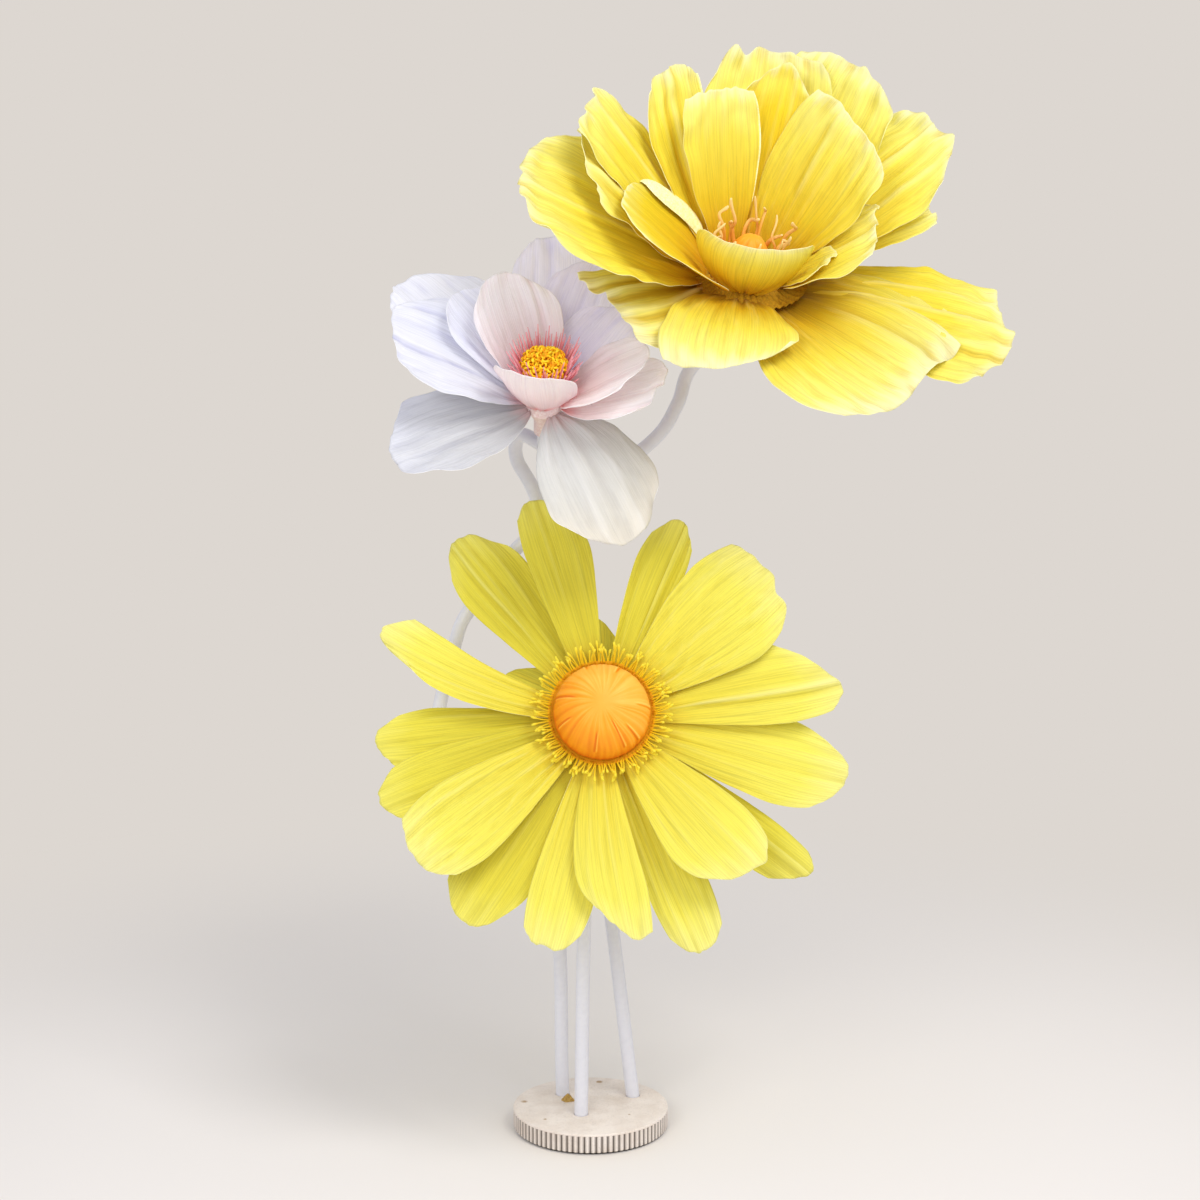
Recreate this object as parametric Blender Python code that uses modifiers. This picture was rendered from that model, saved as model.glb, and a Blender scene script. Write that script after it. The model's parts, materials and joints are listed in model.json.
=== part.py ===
"""Floor display of three giant paper flowers on white stems in one fluted stone base, in metres.

Each petal is cut from crepe paper and glued by its root to the side of a hub. A petal follows a
surface of revolution about its flower's axis. The surfaces of one flower are nested, so its petals
overlap without touching however wide they are.
"""

import math

import bmesh
import bpy
import numpy as np
from mathutils import Matrix, Vector

# Air between neighbouring pieces, and the paper of petals and sepals
GAP = 0.0003
PAPER = 0.0008

# Stone disc on a thin rubber pad
BASE_RADIUS = 0.125
BASE_TOP = 0.034
PAD_THICKNESS = 0.003
PAD_INSET = 0.004
PAD_SIDES = 24
FLUTES = 84
FLUTE_DEPTH = 0.0022
FLUTE_CROWN_SHARE = 0.62
LIP_HEIGHT = 0.0035
LIP_TAPER = 0.0005

# Stems, and the sockets that hold them in the base and in the hubs
STEM_RADIUS = 0.011
SOCKET_CLEARANCE = 0.0007
BASE_SOCKET_DEPTH = 0.024
HUB_SOCKET_DEPTH = 0.028
SOCKET_SIDES = 14
STRAIGHT_FOOT = 0.022
STRAIGHT_LEAD = 0.030
STEM_STEPS = 3

# Small chip of stone lying on the base
CHIP_SIZE = (0.011, 0.008, 0.009)
CHIP_PLACE = (-0.037, 0.018)
CHIP_ROUGH = 0.14
CHIP_PHASE = 5.1
CHIP_FLAT = 0.35

# Hubs: radius of the drum, its height above and below the petals' plane, and the boss behind it
BOSS_RADIUS = 0.016
DAISY_HUB = {"radius": 0.046, "above": 0.020, "below": 0.019, "back": 0.072}
WHITE_HUB = {"radius": 0.028, "above": 0.003, "below": 0.020, "back": 0.068}
GOLD_HUB = {"radius": 0.058, "above": 0.004, "below": 0.018, "back": 0.086}
HUB_STEPS = 16

# Where each flower sits, its turn about the vertical and how far its face is tilted up
DAISY_PLACE = {"centre": (0.018, -0.100, 0.696), "turn": 0, "rise": 26}
WHITE_PLACE = {"centre": (-0.069, -0.070, 1.180), "turn": 2, "rise": 52}
GOLD_PLACE = {"centre": (0.236, 0.000, 1.369), "turn": 15, "rise": 52}

# Rows of the yellow daisy: height of the root, lean at the root and lean at the tip
FRONT_ROW = (0.000, 14, 7)
MIDDLE_ROW = (-0.003, 8, 2)
BACK_ROW = (-0.006, 2, -2)
LAST_ROW = (-0.009, -4, -6)
SEPAL_ROW = (-0.014, -9, -12)

# Petals: name, bearing in degrees, length, half widths to the right and to the left, row of root
# height and leans, sway of the tip, and how far the tip reaches from its right end to its left
# end as a share of the length
EVEN_TIP = (0.86, 0.97, 1, 0.97, 0.86)
FAN_LOBES = (0.88, 0.96, 0.95, 1, 0.99, 0.99, 0.97)
BACK_LOBES = (0.95, 0.99, 0.98, 0.98, 0.98, 1, 0.95, 0.99, 0.86)
RIGHT_LOBES = (0.80, 0.90, 1, 0.97, 0.99, 0.99, 0.88)
DAISY_PETALS = (
    ("a", 108, 0.306, (0.064, 0.038), FRONT_ROW, 0, (0.84, 0.96, 1, 0.99, 0.93)),
    ("b", 128, 0.319, (0.062, 0.058), BACK_ROW, 0, (0.84, 0.96, 1, 0.98, 0.86)),
    ("c", 172, 0.314, (0.041, 0.041), FRONT_ROW, -0.065, (0.88, 0.99, 1, 0.95, 0.84)),
    ("d", 187, 0.301, (0.046, 0.046), BACK_ROW, 0, (0.88, 0.98, 1, 0.97, 0.92)),
    ("e", 203, 0.316, (0.050, 0.052), MIDDLE_ROW, 0, (0.90, 0.98, 1, 0.97, 0.90)),
    ("f", 221, 0.319, (0.074, 0.062), FRONT_ROW, 0, (0.95, 0.99, 1, 0.99, 0.92)),
    ("g", 237.5, 0.329, (0.070, 0.058), BACK_ROW, 0, (0.90, 0.98, 1, 0.97, 0.84)),
    ("h", 256.5, 0.323, (0.041, 0.057), MIDDLE_ROW, 0, (0.94, 0.99, 0.99, 1, 0.92)),
    ("i", 267, 0.318, (0.052, 0.056), FRONT_ROW, 0.045, (0.80, 0.87, 0.93, 0.99, 0.97)),
    ("j", 292.5, 0.342, (0.042, 0.052), BACK_ROW, 0, (0.90, 0.98, 1, 0.99, 0.93)),
    ("k", 311.5, 0.296, (0.076, 0.061), FRONT_ROW, 0, (0.86, 0.95, 0.99, 1, 0.92)),
    ("l", 322.5, 0.348, (0.046, 0.036), LAST_ROW, 0, (0.88, 0.95, 1, 1, 0.94)),
    ("m", 345, 0.337, (0.065, 0.072), BACK_ROW, 0, (0.88, 0.97, 1, 0.98, 0.84)),
    ("n", 9.5, 0.324, (0.064, 0.070), MIDDLE_ROW, 0, (0.95, 1, 0.95, 0.88, 0.74)),
    ("o", 38.5, 0.296, (0.087, 0.093), FRONT_ROW, 0, FAN_LOBES),
    ("p", 67, 0.285, (0.032, 0.049), MIDDLE_ROW, 0, (0.88, 0.95, 1, 0.99, 0.90)),
)
WHITE_PETALS = (
    ("low", 302.3, 0.226, (0.090, 0.118), (-0.015, -15, -43), 0, (0.78, 0.93, 1, 0.96, 0.80)),
    ("low_left", 203.9, 0.222, (0.100, 0.085), (-0.012, 5, -12), 0, (0.84, 0.93, 1, 0.99, 0.82)),
    ("back_left", 139.1, 0.278, (0.112, 0.056), (-0.0115, 20, 12), 0, (0.82, 0.96, 1, 0.98, 0.92)),
    ("back", 89.2, 0.266, (0.085, 0.052), (-0.010, 28, 20), 0, (0.90, 1, 1, 0.96, 0.86)),
    ("low_right", 349.4, 0.170, (0.071, 0.066), (-0.0085, 20, 30), 0, (0.86, 0.95, 1, 1, 0.90)),
    ("back_right", 67.2, 0.224, (0.070, 0.070), (-0.0075, 31, 23), 0, EVEN_TIP),
    ("right_back", 39.6, 0.160, (0.066, 0.070), (-0.005, 36, 28), 0, EVEN_TIP),
    ("left", 166.6, 0.240, (0.120, 0.090), (-0.007, 32, 15), 0, (0.88, 1, 0.95, 0.88, 0.79)),
    ("mid_left", 137.9, 0.188, (0.060, 0.060), (-0.004, 42, 30), 0, EVEN_TIP),
    ("right", 351.9, 0.163, (0.089, 0.069), (-0.0025, 42, 34), 0, (0.84, 0.93, 1, 0.97, 0.86)),
    ("upper", 116, 0.180, (0.072, 0.076), (-0.001, 55, 46), 0, (0.80, 0.92, 1, 0.98, 0.87)),
    ("front", 252, 0.118, (0.074, 0.074), (-0.0005, 44, 84), 0, (0.90, 1, 1, 1, 0.90)),
)
GOLD_PETALS = (
    ("far_right", 339, 0.367, (0.140, 0.140), (-0.0145, 3, -4), 0, (0.88, 0.97, 1, 0.96, 0.97)),
    ("low_right", 311, 0.294, (0.205, 0.205), (-0.0125, 9, -8), 0, (0.92, 0.98, 0.93, 0.97, 1.03)),
    ("low_left", 194.1, 0.211, (0.060, 0.140), (-0.0105, 10, -4), 0, (1, 0.98, 0.86, 0.90, 0.99)),
    ("low", 250, 0.236, (0.115, 0.098), (-0.008, 28, -19), 0, (1, 0.97, 0.90, 0.78, 0.62)),
    ("right", 6.2, 0.262, (0.037, 0.049), (-0.0125, 30, 18), 0, (0.97, 1, 0.98, 1, 0.92)),
    ("left", 170.5, 0.339, (0.172, 0.172), (-0.009, 30, 19), 0, (0.85, 0.97, 0.99, 1.01, 0.88)),
    ("right_upper", 23, 0.347, (0.108, 0.098), (-0.0105, 36, 28), 0, RIGHT_LOBES),
    ("left_mid", 156, 0.288, (0.050, 0.115), (-0.0075, 36, 35), 0, (0.95, 1, 0.98, 0.86, 0.80)),
    ("left_tall", 145, 0.313, (0.072, 0.070), (-0.006, 40, 38), 0, (0.87, 1, 0.97, 0.96, 0.94)),
    ("back_right", 48.5, 0.343, (0.090, 0.115), (-0.0085, 40.5, 42.5), 0, (0.88, 0.96, 0.99, 1, 0.98)),
    ("back", 75, 0.323, (0.105, 0.100), (-0.0065, 43.5, 46), 0, BACK_LOBES),
    ("left_upright", 120, 0.293, (0.055, 0.072), (-0.0045, 45.5, 48), -0.030, (0.94, 0.99, 1, 0.96, 0.87)),
    ("right_inner", 353.9, 0.176, (0.125, 0.054), (-0.0025, 47, 40), 0, (1, 0.96, 0.97, 1.03, 0.92)),
    ("left_inner", 175, 0.200, (0.095, 0.105), (-0.0015, 42, 38), 0, (0.80, 0.92, 1, 1.1, 1.05)),
    ("back_inner", 70.2, 0.295, (0.075, 0.062), (-0.003, 49, 55), 0, (0.78, 0.90, 1, 0.93, 0.84)),
    ("right_tall", 32, 0.258, (0.105, 0.098), (-0.001, 52, 60), 0, (0.84, 0.90, 0.94, 1, 1.02)),
    ("upright", 101.9, 0.243, (0.060, 0.072), (0, 60, 62), 0, (0.98, 1, 1, 1, 0.98)),
    ("front_right", 330, 0.102, (0.055, 0.036), (0.0005, 50, 47), 0, (0.90, 1, 1, 1, 0.92)),
    ("front", 256.2, 0.115, (0.112, 0.112), (0.002, 56, 88), 0, (0.90, 0.97, 1, 1, 0.92)),
)
DAISY_ROOT = 0.013
WHITE_ROOT = 0.012
GOLD_ROOT = 0.018

# Outline shared by all petals: where they are widest, as a share of the length, how round their
# sides are, from 1 for straight ones, how much they narrow after that, and their flutter
WIDEST_AT = 0.78
SWELL = {"daisy": 1.4, "white": 2.3, "gold": 1.8}
SHOULDER = 0.14
WAVE = 0.003
WAVE_TURNS = 4
WAVE_PHASE = 1.9
BEND_STEPS = 40
ACROSS = np.array([-1, -0.6, -0.2, 0.2, 0.6, 1])
ALONG_STRAP = np.array([0, 0.3, 0.62, 0.87, 1])
ALONG_BROAD = np.array([0, 0.22, 0.45, 0.68, 0.88, 1])

# Six sepals behind the daisy
SEPALS = 6
SEPAL_FIRST = 33
SEPAL_REACH = 0.170
SEPAL_HALF = 0.034
SEPAL_ROOT_DEPTH = 0.012
SEPAL_TIP = (0.80, 1, 0.80)
SEPAL_ALONG = np.array([0, 0.35, 0.75, 1])

# Gathered dome and cut fringe of the daisy
DOME_RADIUS = 0.074
DOME_HEIGHT = 0.062
DOME_PLEATS = 16
DOME_RINGS = 6
PLEAT_DEPTH = 0.0016
FRINGE_LEVEL = 0.006
FRINGE_UNDER_RIM = 0.002
FRINGE_BAND = DOME_RADIUS + 0.014
FRINGE_REACH = DOME_RADIUS + 0.040
FRINGE_TEETH = 24
FRINGE_TOOTH_SHARE = 0.5

# Fringed heart of the white flower, on a short core
CORE_RADIUS = 0.012
HEART_RADIUS = 0.036
HEART_LOW = 0.052
HEART_TOP = 0.084
HEART_FLAT_SHARE = 0.62
HEART_SHOULDER = 0.004
HEART_NECK = 0.022
HEART_STEPS = 12
PINK_LOW = 0.010
PINK_HIGH = 0.080
PINK_REACH = 0.056
PINK_TEETH = 16
PINK_BAND_SHARE = 0.7
PINK_TOOTH_SHARE = 0.6
JOIN_DEPTH = 0.002

# Bud and curling stamens of the gold flower
BUD_RADIUS = 0.034
BUD_HEIGHT = 0.070
BUD_RINGS = 4
BUD_STEPS = 16
STAMENS = 11
STAMEN_RADIUS = 0.0028
STAMEN_LENGTH = 0.115
STAMEN_SIDES = 4
STAMEN_FOOT = 0.006
STAMEN_PLACES = (0, 0.35, 0.7, 1)
STAMEN_SWING = 0.5
STAMEN_SWING_PHASE = 2.3
STAMEN_UNEVEN = 0.14
STAMEN_UNEVEN_PHASE = 1.7
STAMEN_SPREAD = 0.34
STAMEN_ARC = 1.9
STAMEN_RISE = 0.9

# Routes of the stems between the base and the hubs
DAISY_ROUTE = ((-0.015, -0.038), (-0.010, -0.034, 0.337), (-0.001, -0.018, 0.520))
WHITE_ROUTE = (
    (0.069, 0.043),
    (0.036, 0.046, 0.313),
    (-0.001, 0.050, 0.594),
    (-0.045, 0.050, 0.854),
    (-0.084, 0.050, 1.013),
    (-0.116, 0.044, 1.080),
    (-0.108, 0.018, 1.118),
)
GOLD_ROUTE = (
    (-0.046, 0.049),
    (-0.055, 0.058, 0.330),
    (-0.105, 0.068, 0.430),
    (-0.205, 0.080, 0.505),
    (-0.247, 0.085, 0.585),
    (-0.248, 0.085, 0.653),
    (-0.219, 0.088, 0.775),
    (-0.195, 0.090, 0.832),
    (-0.116, 0.095, 0.933),
    (-0.009, 0.100, 1.021),
    (0.100, 0.100, 1.104),
    (0.138, 0.096, 1.161),
    (0.158, 0.095, 1.216),
)

# Roughness of paper and stone, of card and of brushed tape
MATT = 0.85
CARD = 0.8
SATIN = 0.45

# Colours, in linear light
STONE = (0.72, 0.62, 0.52)
RUBBER = (0.012, 0.012, 0.012)
OCHRE = (0.50, 0.33, 0.08)
STEM_WHITE = (0.78, 0.78, 0.84)
LEMON = (0.88, 0.78, 0.10)
GOLD = (0.87, 0.66, 0.03)
BLOOM_WHITE = (0.80, 0.78, 0.83)
ORANGE = (0.90, 0.36, 0.02)
PINK = (0.83, 0.33, 0.38)
OLIVE = (0.62, 0.58, 0.08)
APRICOT = (0.92, 0.48, 0.10)


def material(name, colour, roughness):
    made = bpy.data.materials.new(name)
    made.use_nodes = True
    shader = made.node_tree.nodes["Principled BSDF"]
    shader.inputs["Base Color"].default_value = (*colour, 1)
    shader.inputs["Roughness"].default_value = roughness
    shader.inputs["Metallic"].default_value = 0
    made.diffuse_color = (*colour, 1)
    return made


def add_object(name, data, colour, roughness, group):
    made = bpy.data.objects.new(name, data)
    made.data.materials.append(material(name + "_look", colour, roughness))
    group.objects.link(made)
    return made


def mesh_object(name, points, faces, colour, roughness, group):
    data = bpy.data.meshes.new(name)
    data.from_pydata([tuple(float(c) for c in point) for point in points], [], faces)
    data.validate()
    shape = bmesh.new()
    shape.from_mesh(data)
    bmesh.ops.recalc_face_normals(shape, faces=shape.faces)
    shape.to_mesh(data)
    shape.free()
    return add_object(name, data, colour, roughness, group)


def helper(made):
    """Marks an object that only cuts or joins another one."""
    made.hide_render = True
    made.display_type = "WIRE"
    return made


def combine(target, other, operation):
    step = target.modifiers.new(operation.lower() + "_" + other.name, "BOOLEAN")
    step.operation = operation
    step.solver = "EXACT"
    step.object = other


def turned(name, profile, steps, colour, roughness, group):
    """Solid of revolution. The profile starts and ends on the axis, from top to bottom."""
    data = bpy.data.meshes.new(name)
    edges = [(i, i + 1) for i in range(len(profile) - 1)]
    data.from_pydata([(radius, 0, height) for radius, height in profile], edges, [])
    made = add_object(name, data, colour, roughness, group)
    screw = made.modifiers.new("turn", "SCREW")
    screw.axis = "Z"
    screw.steps = steps
    screw.render_steps = steps
    screw.use_merge_vertices = True
    screw.merge_threshold = 0.0001
    return made


def thicken(made, thickness):
    shell = made.modifiers.new("paper", "SOLIDIFY")
    shell.thickness = thickness
    shell.offset = 0


def bend_line(length, lean_root, lean_tip):
    """Radial and axial run of a petal's middle line at even steps along it."""
    lean = np.radians(np.linspace(lean_root, lean_tip, BEND_STEPS + 1))
    between = (lean[1:] + lean[:-1]) / 2
    step = length / BEND_STEPS
    out = np.concatenate([[0], np.cumsum(np.cos(between)) * step])
    up = np.concatenate([[0], np.cumsum(np.sin(between)) * step])
    return out, up, lean


def half_width(across, along, halves, root, swell):
    rise = 1 - (1 - np.minimum(along, WIDEST_AT) / WIDEST_AT) ** swell
    fall = 1 - SHOULDER * (np.maximum(along - WIDEST_AT, 0) / (1 - WIDEST_AT)) ** 2
    half = np.where(across < 0, *halves)
    return (root + (half - root) * rise) * fall


def petal_points(across, along, start, root, swell, cut, phase):
    """Points of a petal that grows along +X from the radius start. cut is what a petal row holds."""
    length, halves, row, sway, tip = cut
    level, lean_root, lean_tip = row
    longest = length * max(tip)
    stretch = lean_root + (lean_tip - lean_root) * max(tip)
    out, up, lean = bend_line(longest, lean_root, stretch)
    shares = np.linspace(0, max(tip), BEND_STEPS + 1)
    reach = np.interp(across, np.linspace(-1, 1, len(tip)), tip)
    share = along * (1 - (1 - reach) * along**2)
    middle = start + np.interp(share, shares, out)
    height = level + np.interp(share, shares, up)
    slope = np.interp(share, shares, lean)
    flutter = WAVE * along**3 * np.sin(WAVE_TURNS * across + phase)
    radius = middle - flutter * np.sin(slope)
    height = height + flutter * np.cos(slope)
    wide = half_width(across, along, halves, root, swell)
    bearing = (across * wide + sway * along**2) / middle
    return np.stack([radius * np.cos(bearing), radius * np.sin(bearing), height], -1)


def petal_mesh(across, along, start, root, swell, cut, phase):
    """Grid of points and faces of one petal."""
    points = petal_points(*np.meshgrid(across, along), start, root, swell, cut, phase)
    wide = len(across)
    faces = []
    for j in range(len(along) - 1):
        for i in range(wide - 1):
            corner = j * wide + i
            faces.append((corner, corner + 1, corner + wide + 1, corner + wide))
    return points.reshape(-1, 3), faces


def head_matrix(place):
    """Frame of a flower: +Z is its axis, +X is level."""
    turn, rise = math.radians(place["turn"]), math.radians(place["rise"])
    facing = Vector(
        (math.sin(turn) * math.cos(rise), -math.cos(turn) * math.cos(rise), math.sin(rise))
    )
    level = Vector((math.cos(turn), math.sin(turn), 0))
    frame = Matrix((level, facing.cross(level), facing)).transposed().to_4x4()
    return Matrix.Translation(place["centre"]) @ frame


def add_petals(flower, petals, hub, root, place, colour, along, group):
    frame = head_matrix(place)
    start = hub["radius"] + GAP + PAPER / 2
    for number, (name, bearing, *cut) in enumerate(petals):
        phase = WAVE_PHASE * number
        points, faces = petal_mesh(ACROSS, along, start, root, SWELL[flower], cut, phase)
        made = mesh_object(f"{flower}_petal_{name}", points, faces, colour, MATT, group)
        thicken(made, PAPER)
        made.matrix_world = frame @ Matrix.Rotation(math.radians(bearing), 4, "Z")


def add_hub(name, hub, place, colour, group):
    """Drum that carries the petals, with a boss behind it that takes the stem."""
    bore = STEM_RADIUS + SOCKET_CLEARANCE
    profile = (
        (0, hub["above"]),
        (hub["radius"], hub["above"]),
        (hub["radius"], -hub["below"]),
        (BOSS_RADIUS, -hub["back"] + HUB_SOCKET_DEPTH),
        (BOSS_RADIUS, -hub["back"]),
        (bore, -hub["back"]),
        (bore, -hub["back"] + HUB_SOCKET_DEPTH),
        (0, -hub["back"] + HUB_SOCKET_DEPTH),
    )
    made = turned(name, profile, HUB_STEPS, colour, CARD, group)
    made.matrix_world = head_matrix(place)
    return made


def add_sepals(hub_object, group):
    start = DAISY_HUB["radius"] - SEPAL_ROOT_DEPTH
    cut = (SEPAL_REACH - start, (SEPAL_HALF, SEPAL_HALF), SEPAL_ROW, 0, SEPAL_TIP)
    across = np.array([-1, 0, 1])
    for number in range(SEPALS):
        points, faces = petal_mesh(across, SEPAL_ALONG, start, SEPAL_HALF / 2, SWELL["daisy"], cut, 0)
        sepal = mesh_object(f"sepal_{number}", points, faces, OLIVE, MATT, group)
        thicken(sepal, 2 * PAPER)
        turn = Matrix.Rotation(math.radians(SEPAL_FIRST + 360 * number / SEPALS), 4, "Z")
        sepal.matrix_world = head_matrix(DAISY_PLACE) @ turn
        combine(hub_object, helper(sepal), "UNION")


def add_dome(group):
    """Half ball of crepe paper gathered at the pole, with a flat underside."""
    columns = 2 * DOME_PLEATS
    points = [(0, 0, DOME_HEIGHT)]
    for ring in range(1, DOME_RINGS + 1):
        polar = math.pi / 2 * ring / DOME_RINGS
        for column in range(columns):
            bearing = 2 * math.pi * column / columns
            pleat = PLEAT_DEPTH * (-1) ** column * math.sin(2 * polar)
            radius = DOME_RADIUS * math.sin(polar) + pleat
            height = DOME_HEIGHT * math.cos(polar)
            points.append((radius * math.cos(bearing), radius * math.sin(bearing), height))
    faces = []
    for column in range(columns):
        after = (column + 1) % columns
        faces.append((0, 1 + column, 1 + after))
        for ring in range(DOME_RINGS - 1):
            near, far = 1 + ring * columns, 1 + (ring + 1) * columns
            faces.append((near + column, far + column, far + after, near + after))
    faces.append(tuple(range(1 + (DOME_RINGS - 1) * columns, 1 + DOME_RINGS * columns)))
    made = mesh_object("daisy_dome", points, faces, ORANGE, CARD, group)
    lift = Matrix.Translation((0, 0, DAISY_HUB["above"] + GAP))
    made.matrix_world = head_matrix(DAISY_PLACE) @ lift


def fringe_mesh(teeth, inner, band, tip, tooth_share):
    """Conical strip with cut teeth. Each of inner, band and tip is a radius and a height."""
    points, faces = [], []
    pitch = 2 * math.pi / teeth
    for radius, height in (inner, band):
        for tooth in range(teeth):
            for side in (-0.5, 0.5):
                bearing = pitch * (tooth + side * tooth_share)
                points.append((radius * math.cos(bearing), radius * math.sin(bearing), height))
    for tooth in range(teeth):
        for side in (-0.5, 0.5):
            bearing = pitch * (tooth + side * tooth_share * band[0] / tip[0])
            points.append((tip[0] * math.cos(bearing), tip[0] * math.sin(bearing), tip[1]))
    columns = 2 * teeth
    for column in range(columns):
        after = (column + 1) % columns
        faces.append((column, after, columns + after, columns + column))
        if column % 2 == 0:
            low, high = columns + column, 2 * columns + column
            faces.append((low, low + 1, high + 1, high))
    return points, faces


def add_daisy_fringe(group):
    """Strip wrapped round the drum. It rises so that it passes just under the dome's rim."""
    inner = DAISY_HUB["radius"] + GAP + PAPER / 2
    climb = DAISY_HUB["above"] - FRINGE_UNDER_RIM - FRINGE_LEVEL
    slope = climb / (DOME_RADIUS - inner)
    rings = [(r, FRINGE_LEVEL + (r - inner) * slope) for r in (inner, FRINGE_BAND, FRINGE_REACH)]
    points, faces = fringe_mesh(FRINGE_TEETH, *rings, FRINGE_TOOTH_SHARE)
    made = mesh_object("daisy_fringe", points, faces, LEMON, MATT, group)
    thicken(made, PAPER)
    made.matrix_world = head_matrix(DAISY_PLACE)


def add_white_centre(group, helpers):
    """Core with the yellow tuft, joined to the pink fringe wrapped round it."""
    profile = (
        (0, HEART_TOP),
        (HEART_RADIUS * HEART_FLAT_SHARE, HEART_TOP - HEART_SHOULDER),
        (HEART_RADIUS, (HEART_TOP + HEART_LOW) / 2),
        (HEART_RADIUS * HEART_FLAT_SHARE, HEART_LOW),
        (CORE_RADIUS, HEART_LOW - HEART_NECK),
        (CORE_RADIUS, 0),
        (0, 0),
    )
    made = turned("white_centre", profile, HEART_STEPS, OCHRE, CARD, group)
    inner = (CORE_RADIUS - JOIN_DEPTH, PINK_LOW)
    band = (
        inner[0] + (PINK_REACH - inner[0]) * PINK_BAND_SHARE,
        PINK_LOW + (PINK_HIGH - PINK_LOW) * PINK_BAND_SHARE,
    )
    tip = (PINK_REACH, PINK_HIGH)
    points, faces = fringe_mesh(PINK_TEETH, inner, band, tip, PINK_TOOTH_SHARE)
    fringe = helper(mesh_object("pink_fringe", points, faces, PINK, MATT, helpers))
    thicken(fringe, 2 * PAPER)
    frame = head_matrix(WHITE_PLACE) @ Matrix.Translation((0, 0, WHITE_HUB["above"] + GAP))
    made.matrix_world = frame
    fringe.matrix_world = frame
    combine(made, fringe, "UNION")


def stamen_mesh(number):
    """One curling strip, a bent rod that starts inside the foot of the bud."""
    bearing = 2 * math.pi * number / STAMENS
    swing = STAMEN_SWING * math.sin(STAMEN_SWING_PHASE * number)
    uneven = STAMEN_UNEVEN * (1 - math.cos(STAMEN_UNEVEN_PHASE * number))
    length = STAMEN_LENGTH * (1 - uneven)
    start = BUD_RADIUS - JOIN_DEPTH
    line = []
    for share in STAMEN_PLACES:
        radius = start + STAMEN_SPREAD * length * math.sin(STAMEN_ARC * share)
        at = bearing + swing * share**2
        rise = STAMEN_FOOT + length * share * STAMEN_RISE
        line.append(Vector((radius * math.cos(at), radius * math.sin(at), rise)))
    points, faces = [], []
    for index, centre in enumerate(line):
        after = line[min(index + 1, len(line) - 1)]
        before = line[max(index - 1, 0)]
        along = (after - before).normalized()
        side = along.cross(Vector((math.cos(bearing), math.sin(bearing), 0))).normalized()
        other = along.cross(side)
        for corner in range(STAMEN_SIDES):
            angle = 2 * math.pi * corner / STAMEN_SIDES
            offset = side * math.cos(angle) + other * math.sin(angle)
            points.append(centre + STAMEN_RADIUS * offset)
    for index in range(len(line) - 1):
        for corner in range(STAMEN_SIDES):
            after = (corner + 1) % STAMEN_SIDES
            low, high = index * STAMEN_SIDES, (index + 1) * STAMEN_SIDES
            faces.append((low + corner, low + after, high + after, high + corner))
    faces.append(tuple(range(STAMEN_SIDES)))
    faces.append(tuple(range(len(points) - STAMEN_SIDES, len(points))))
    return points, faces


def add_gold_centre(group, helpers):
    profile = [(0, BUD_HEIGHT)]
    for ring in range(1, BUD_RINGS + 1):
        polar = math.pi / 2 * ring / BUD_RINGS
        profile.append((BUD_RADIUS * math.sin(polar), BUD_HEIGHT * math.cos(polar)))
    profile.append((0, 0))
    made = turned("gold_centre", profile, BUD_STEPS, APRICOT, CARD, group)
    frame = head_matrix(GOLD_PLACE) @ Matrix.Translation((0, 0, GOLD_HUB["above"] + GAP))
    made.matrix_world = frame
    for number in range(STAMENS):
        points, faces = stamen_mesh(number)
        rod = helper(mesh_object(f"stamen_{number}", points, faces, APRICOT, CARD, helpers))
        rod.matrix_world = frame
        combine(made, rod, "UNION")


def smooth_line(points, steps):
    """Catmull-Rom curve through the points, with the ends kept."""
    padded = [2 * points[0] - points[1], *points, 2 * points[-1] - points[-2]]
    line = [points[0]]
    for index in range(1, len(points)):
        a, b, c, d = padded[index - 1 : index + 3]
        for step in range(1, steps + 1):
            t = step / steps
            line.append(
                0.5
                * (
                    2 * b
                    + (c - a) * t
                    + (2 * a - 5 * b + 4 * c - d) * t**2
                    + (3 * b - a - 3 * c + d) * t**3
                )
            )
    return line


def foot_line(route):
    """Point where a stem enters the base, and the direction it rises in."""
    mouth = Vector((*route[0], BASE_TOP))
    return mouth, (Vector(route[1]) - mouth).normalized()


def add_stem(name, route, place, hub, group):
    """Round rod from its socket in the base to the socket behind a hub."""
    mouth, rising = foot_line(route)
    foot = mouth - (BASE_SOCKET_DEPTH - GAP) * rising
    frame = head_matrix(place)
    entry = frame @ Vector((0, 0, -hub["back"]))
    axis = frame.to_3x3() @ Vector((0, 0, 1))
    free = [mouth + STRAIGHT_FOOT * rising]
    free += [Vector(point) for point in route[1:]]
    free.append(entry - STRAIGHT_LEAD * axis)
    line = [foot, *smooth_line(free, STEM_STEPS), entry]
    line.append(entry + (HUB_SOCKET_DEPTH - GAP) * axis)
    data = bpy.data.curves.new(name, "CURVE")
    data.dimensions = "3D"
    data.bevel_depth = STEM_RADIUS
    data.bevel_resolution = 2
    data.use_fill_caps = True
    spline = data.splines.new("POLY")
    spline.points.add(len(line) - 1)
    for point, at in zip(spline.points, line):
        point.co = (*at, 1)
    return add_object(name, data, STEM_WHITE, SATIN, group)


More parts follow.
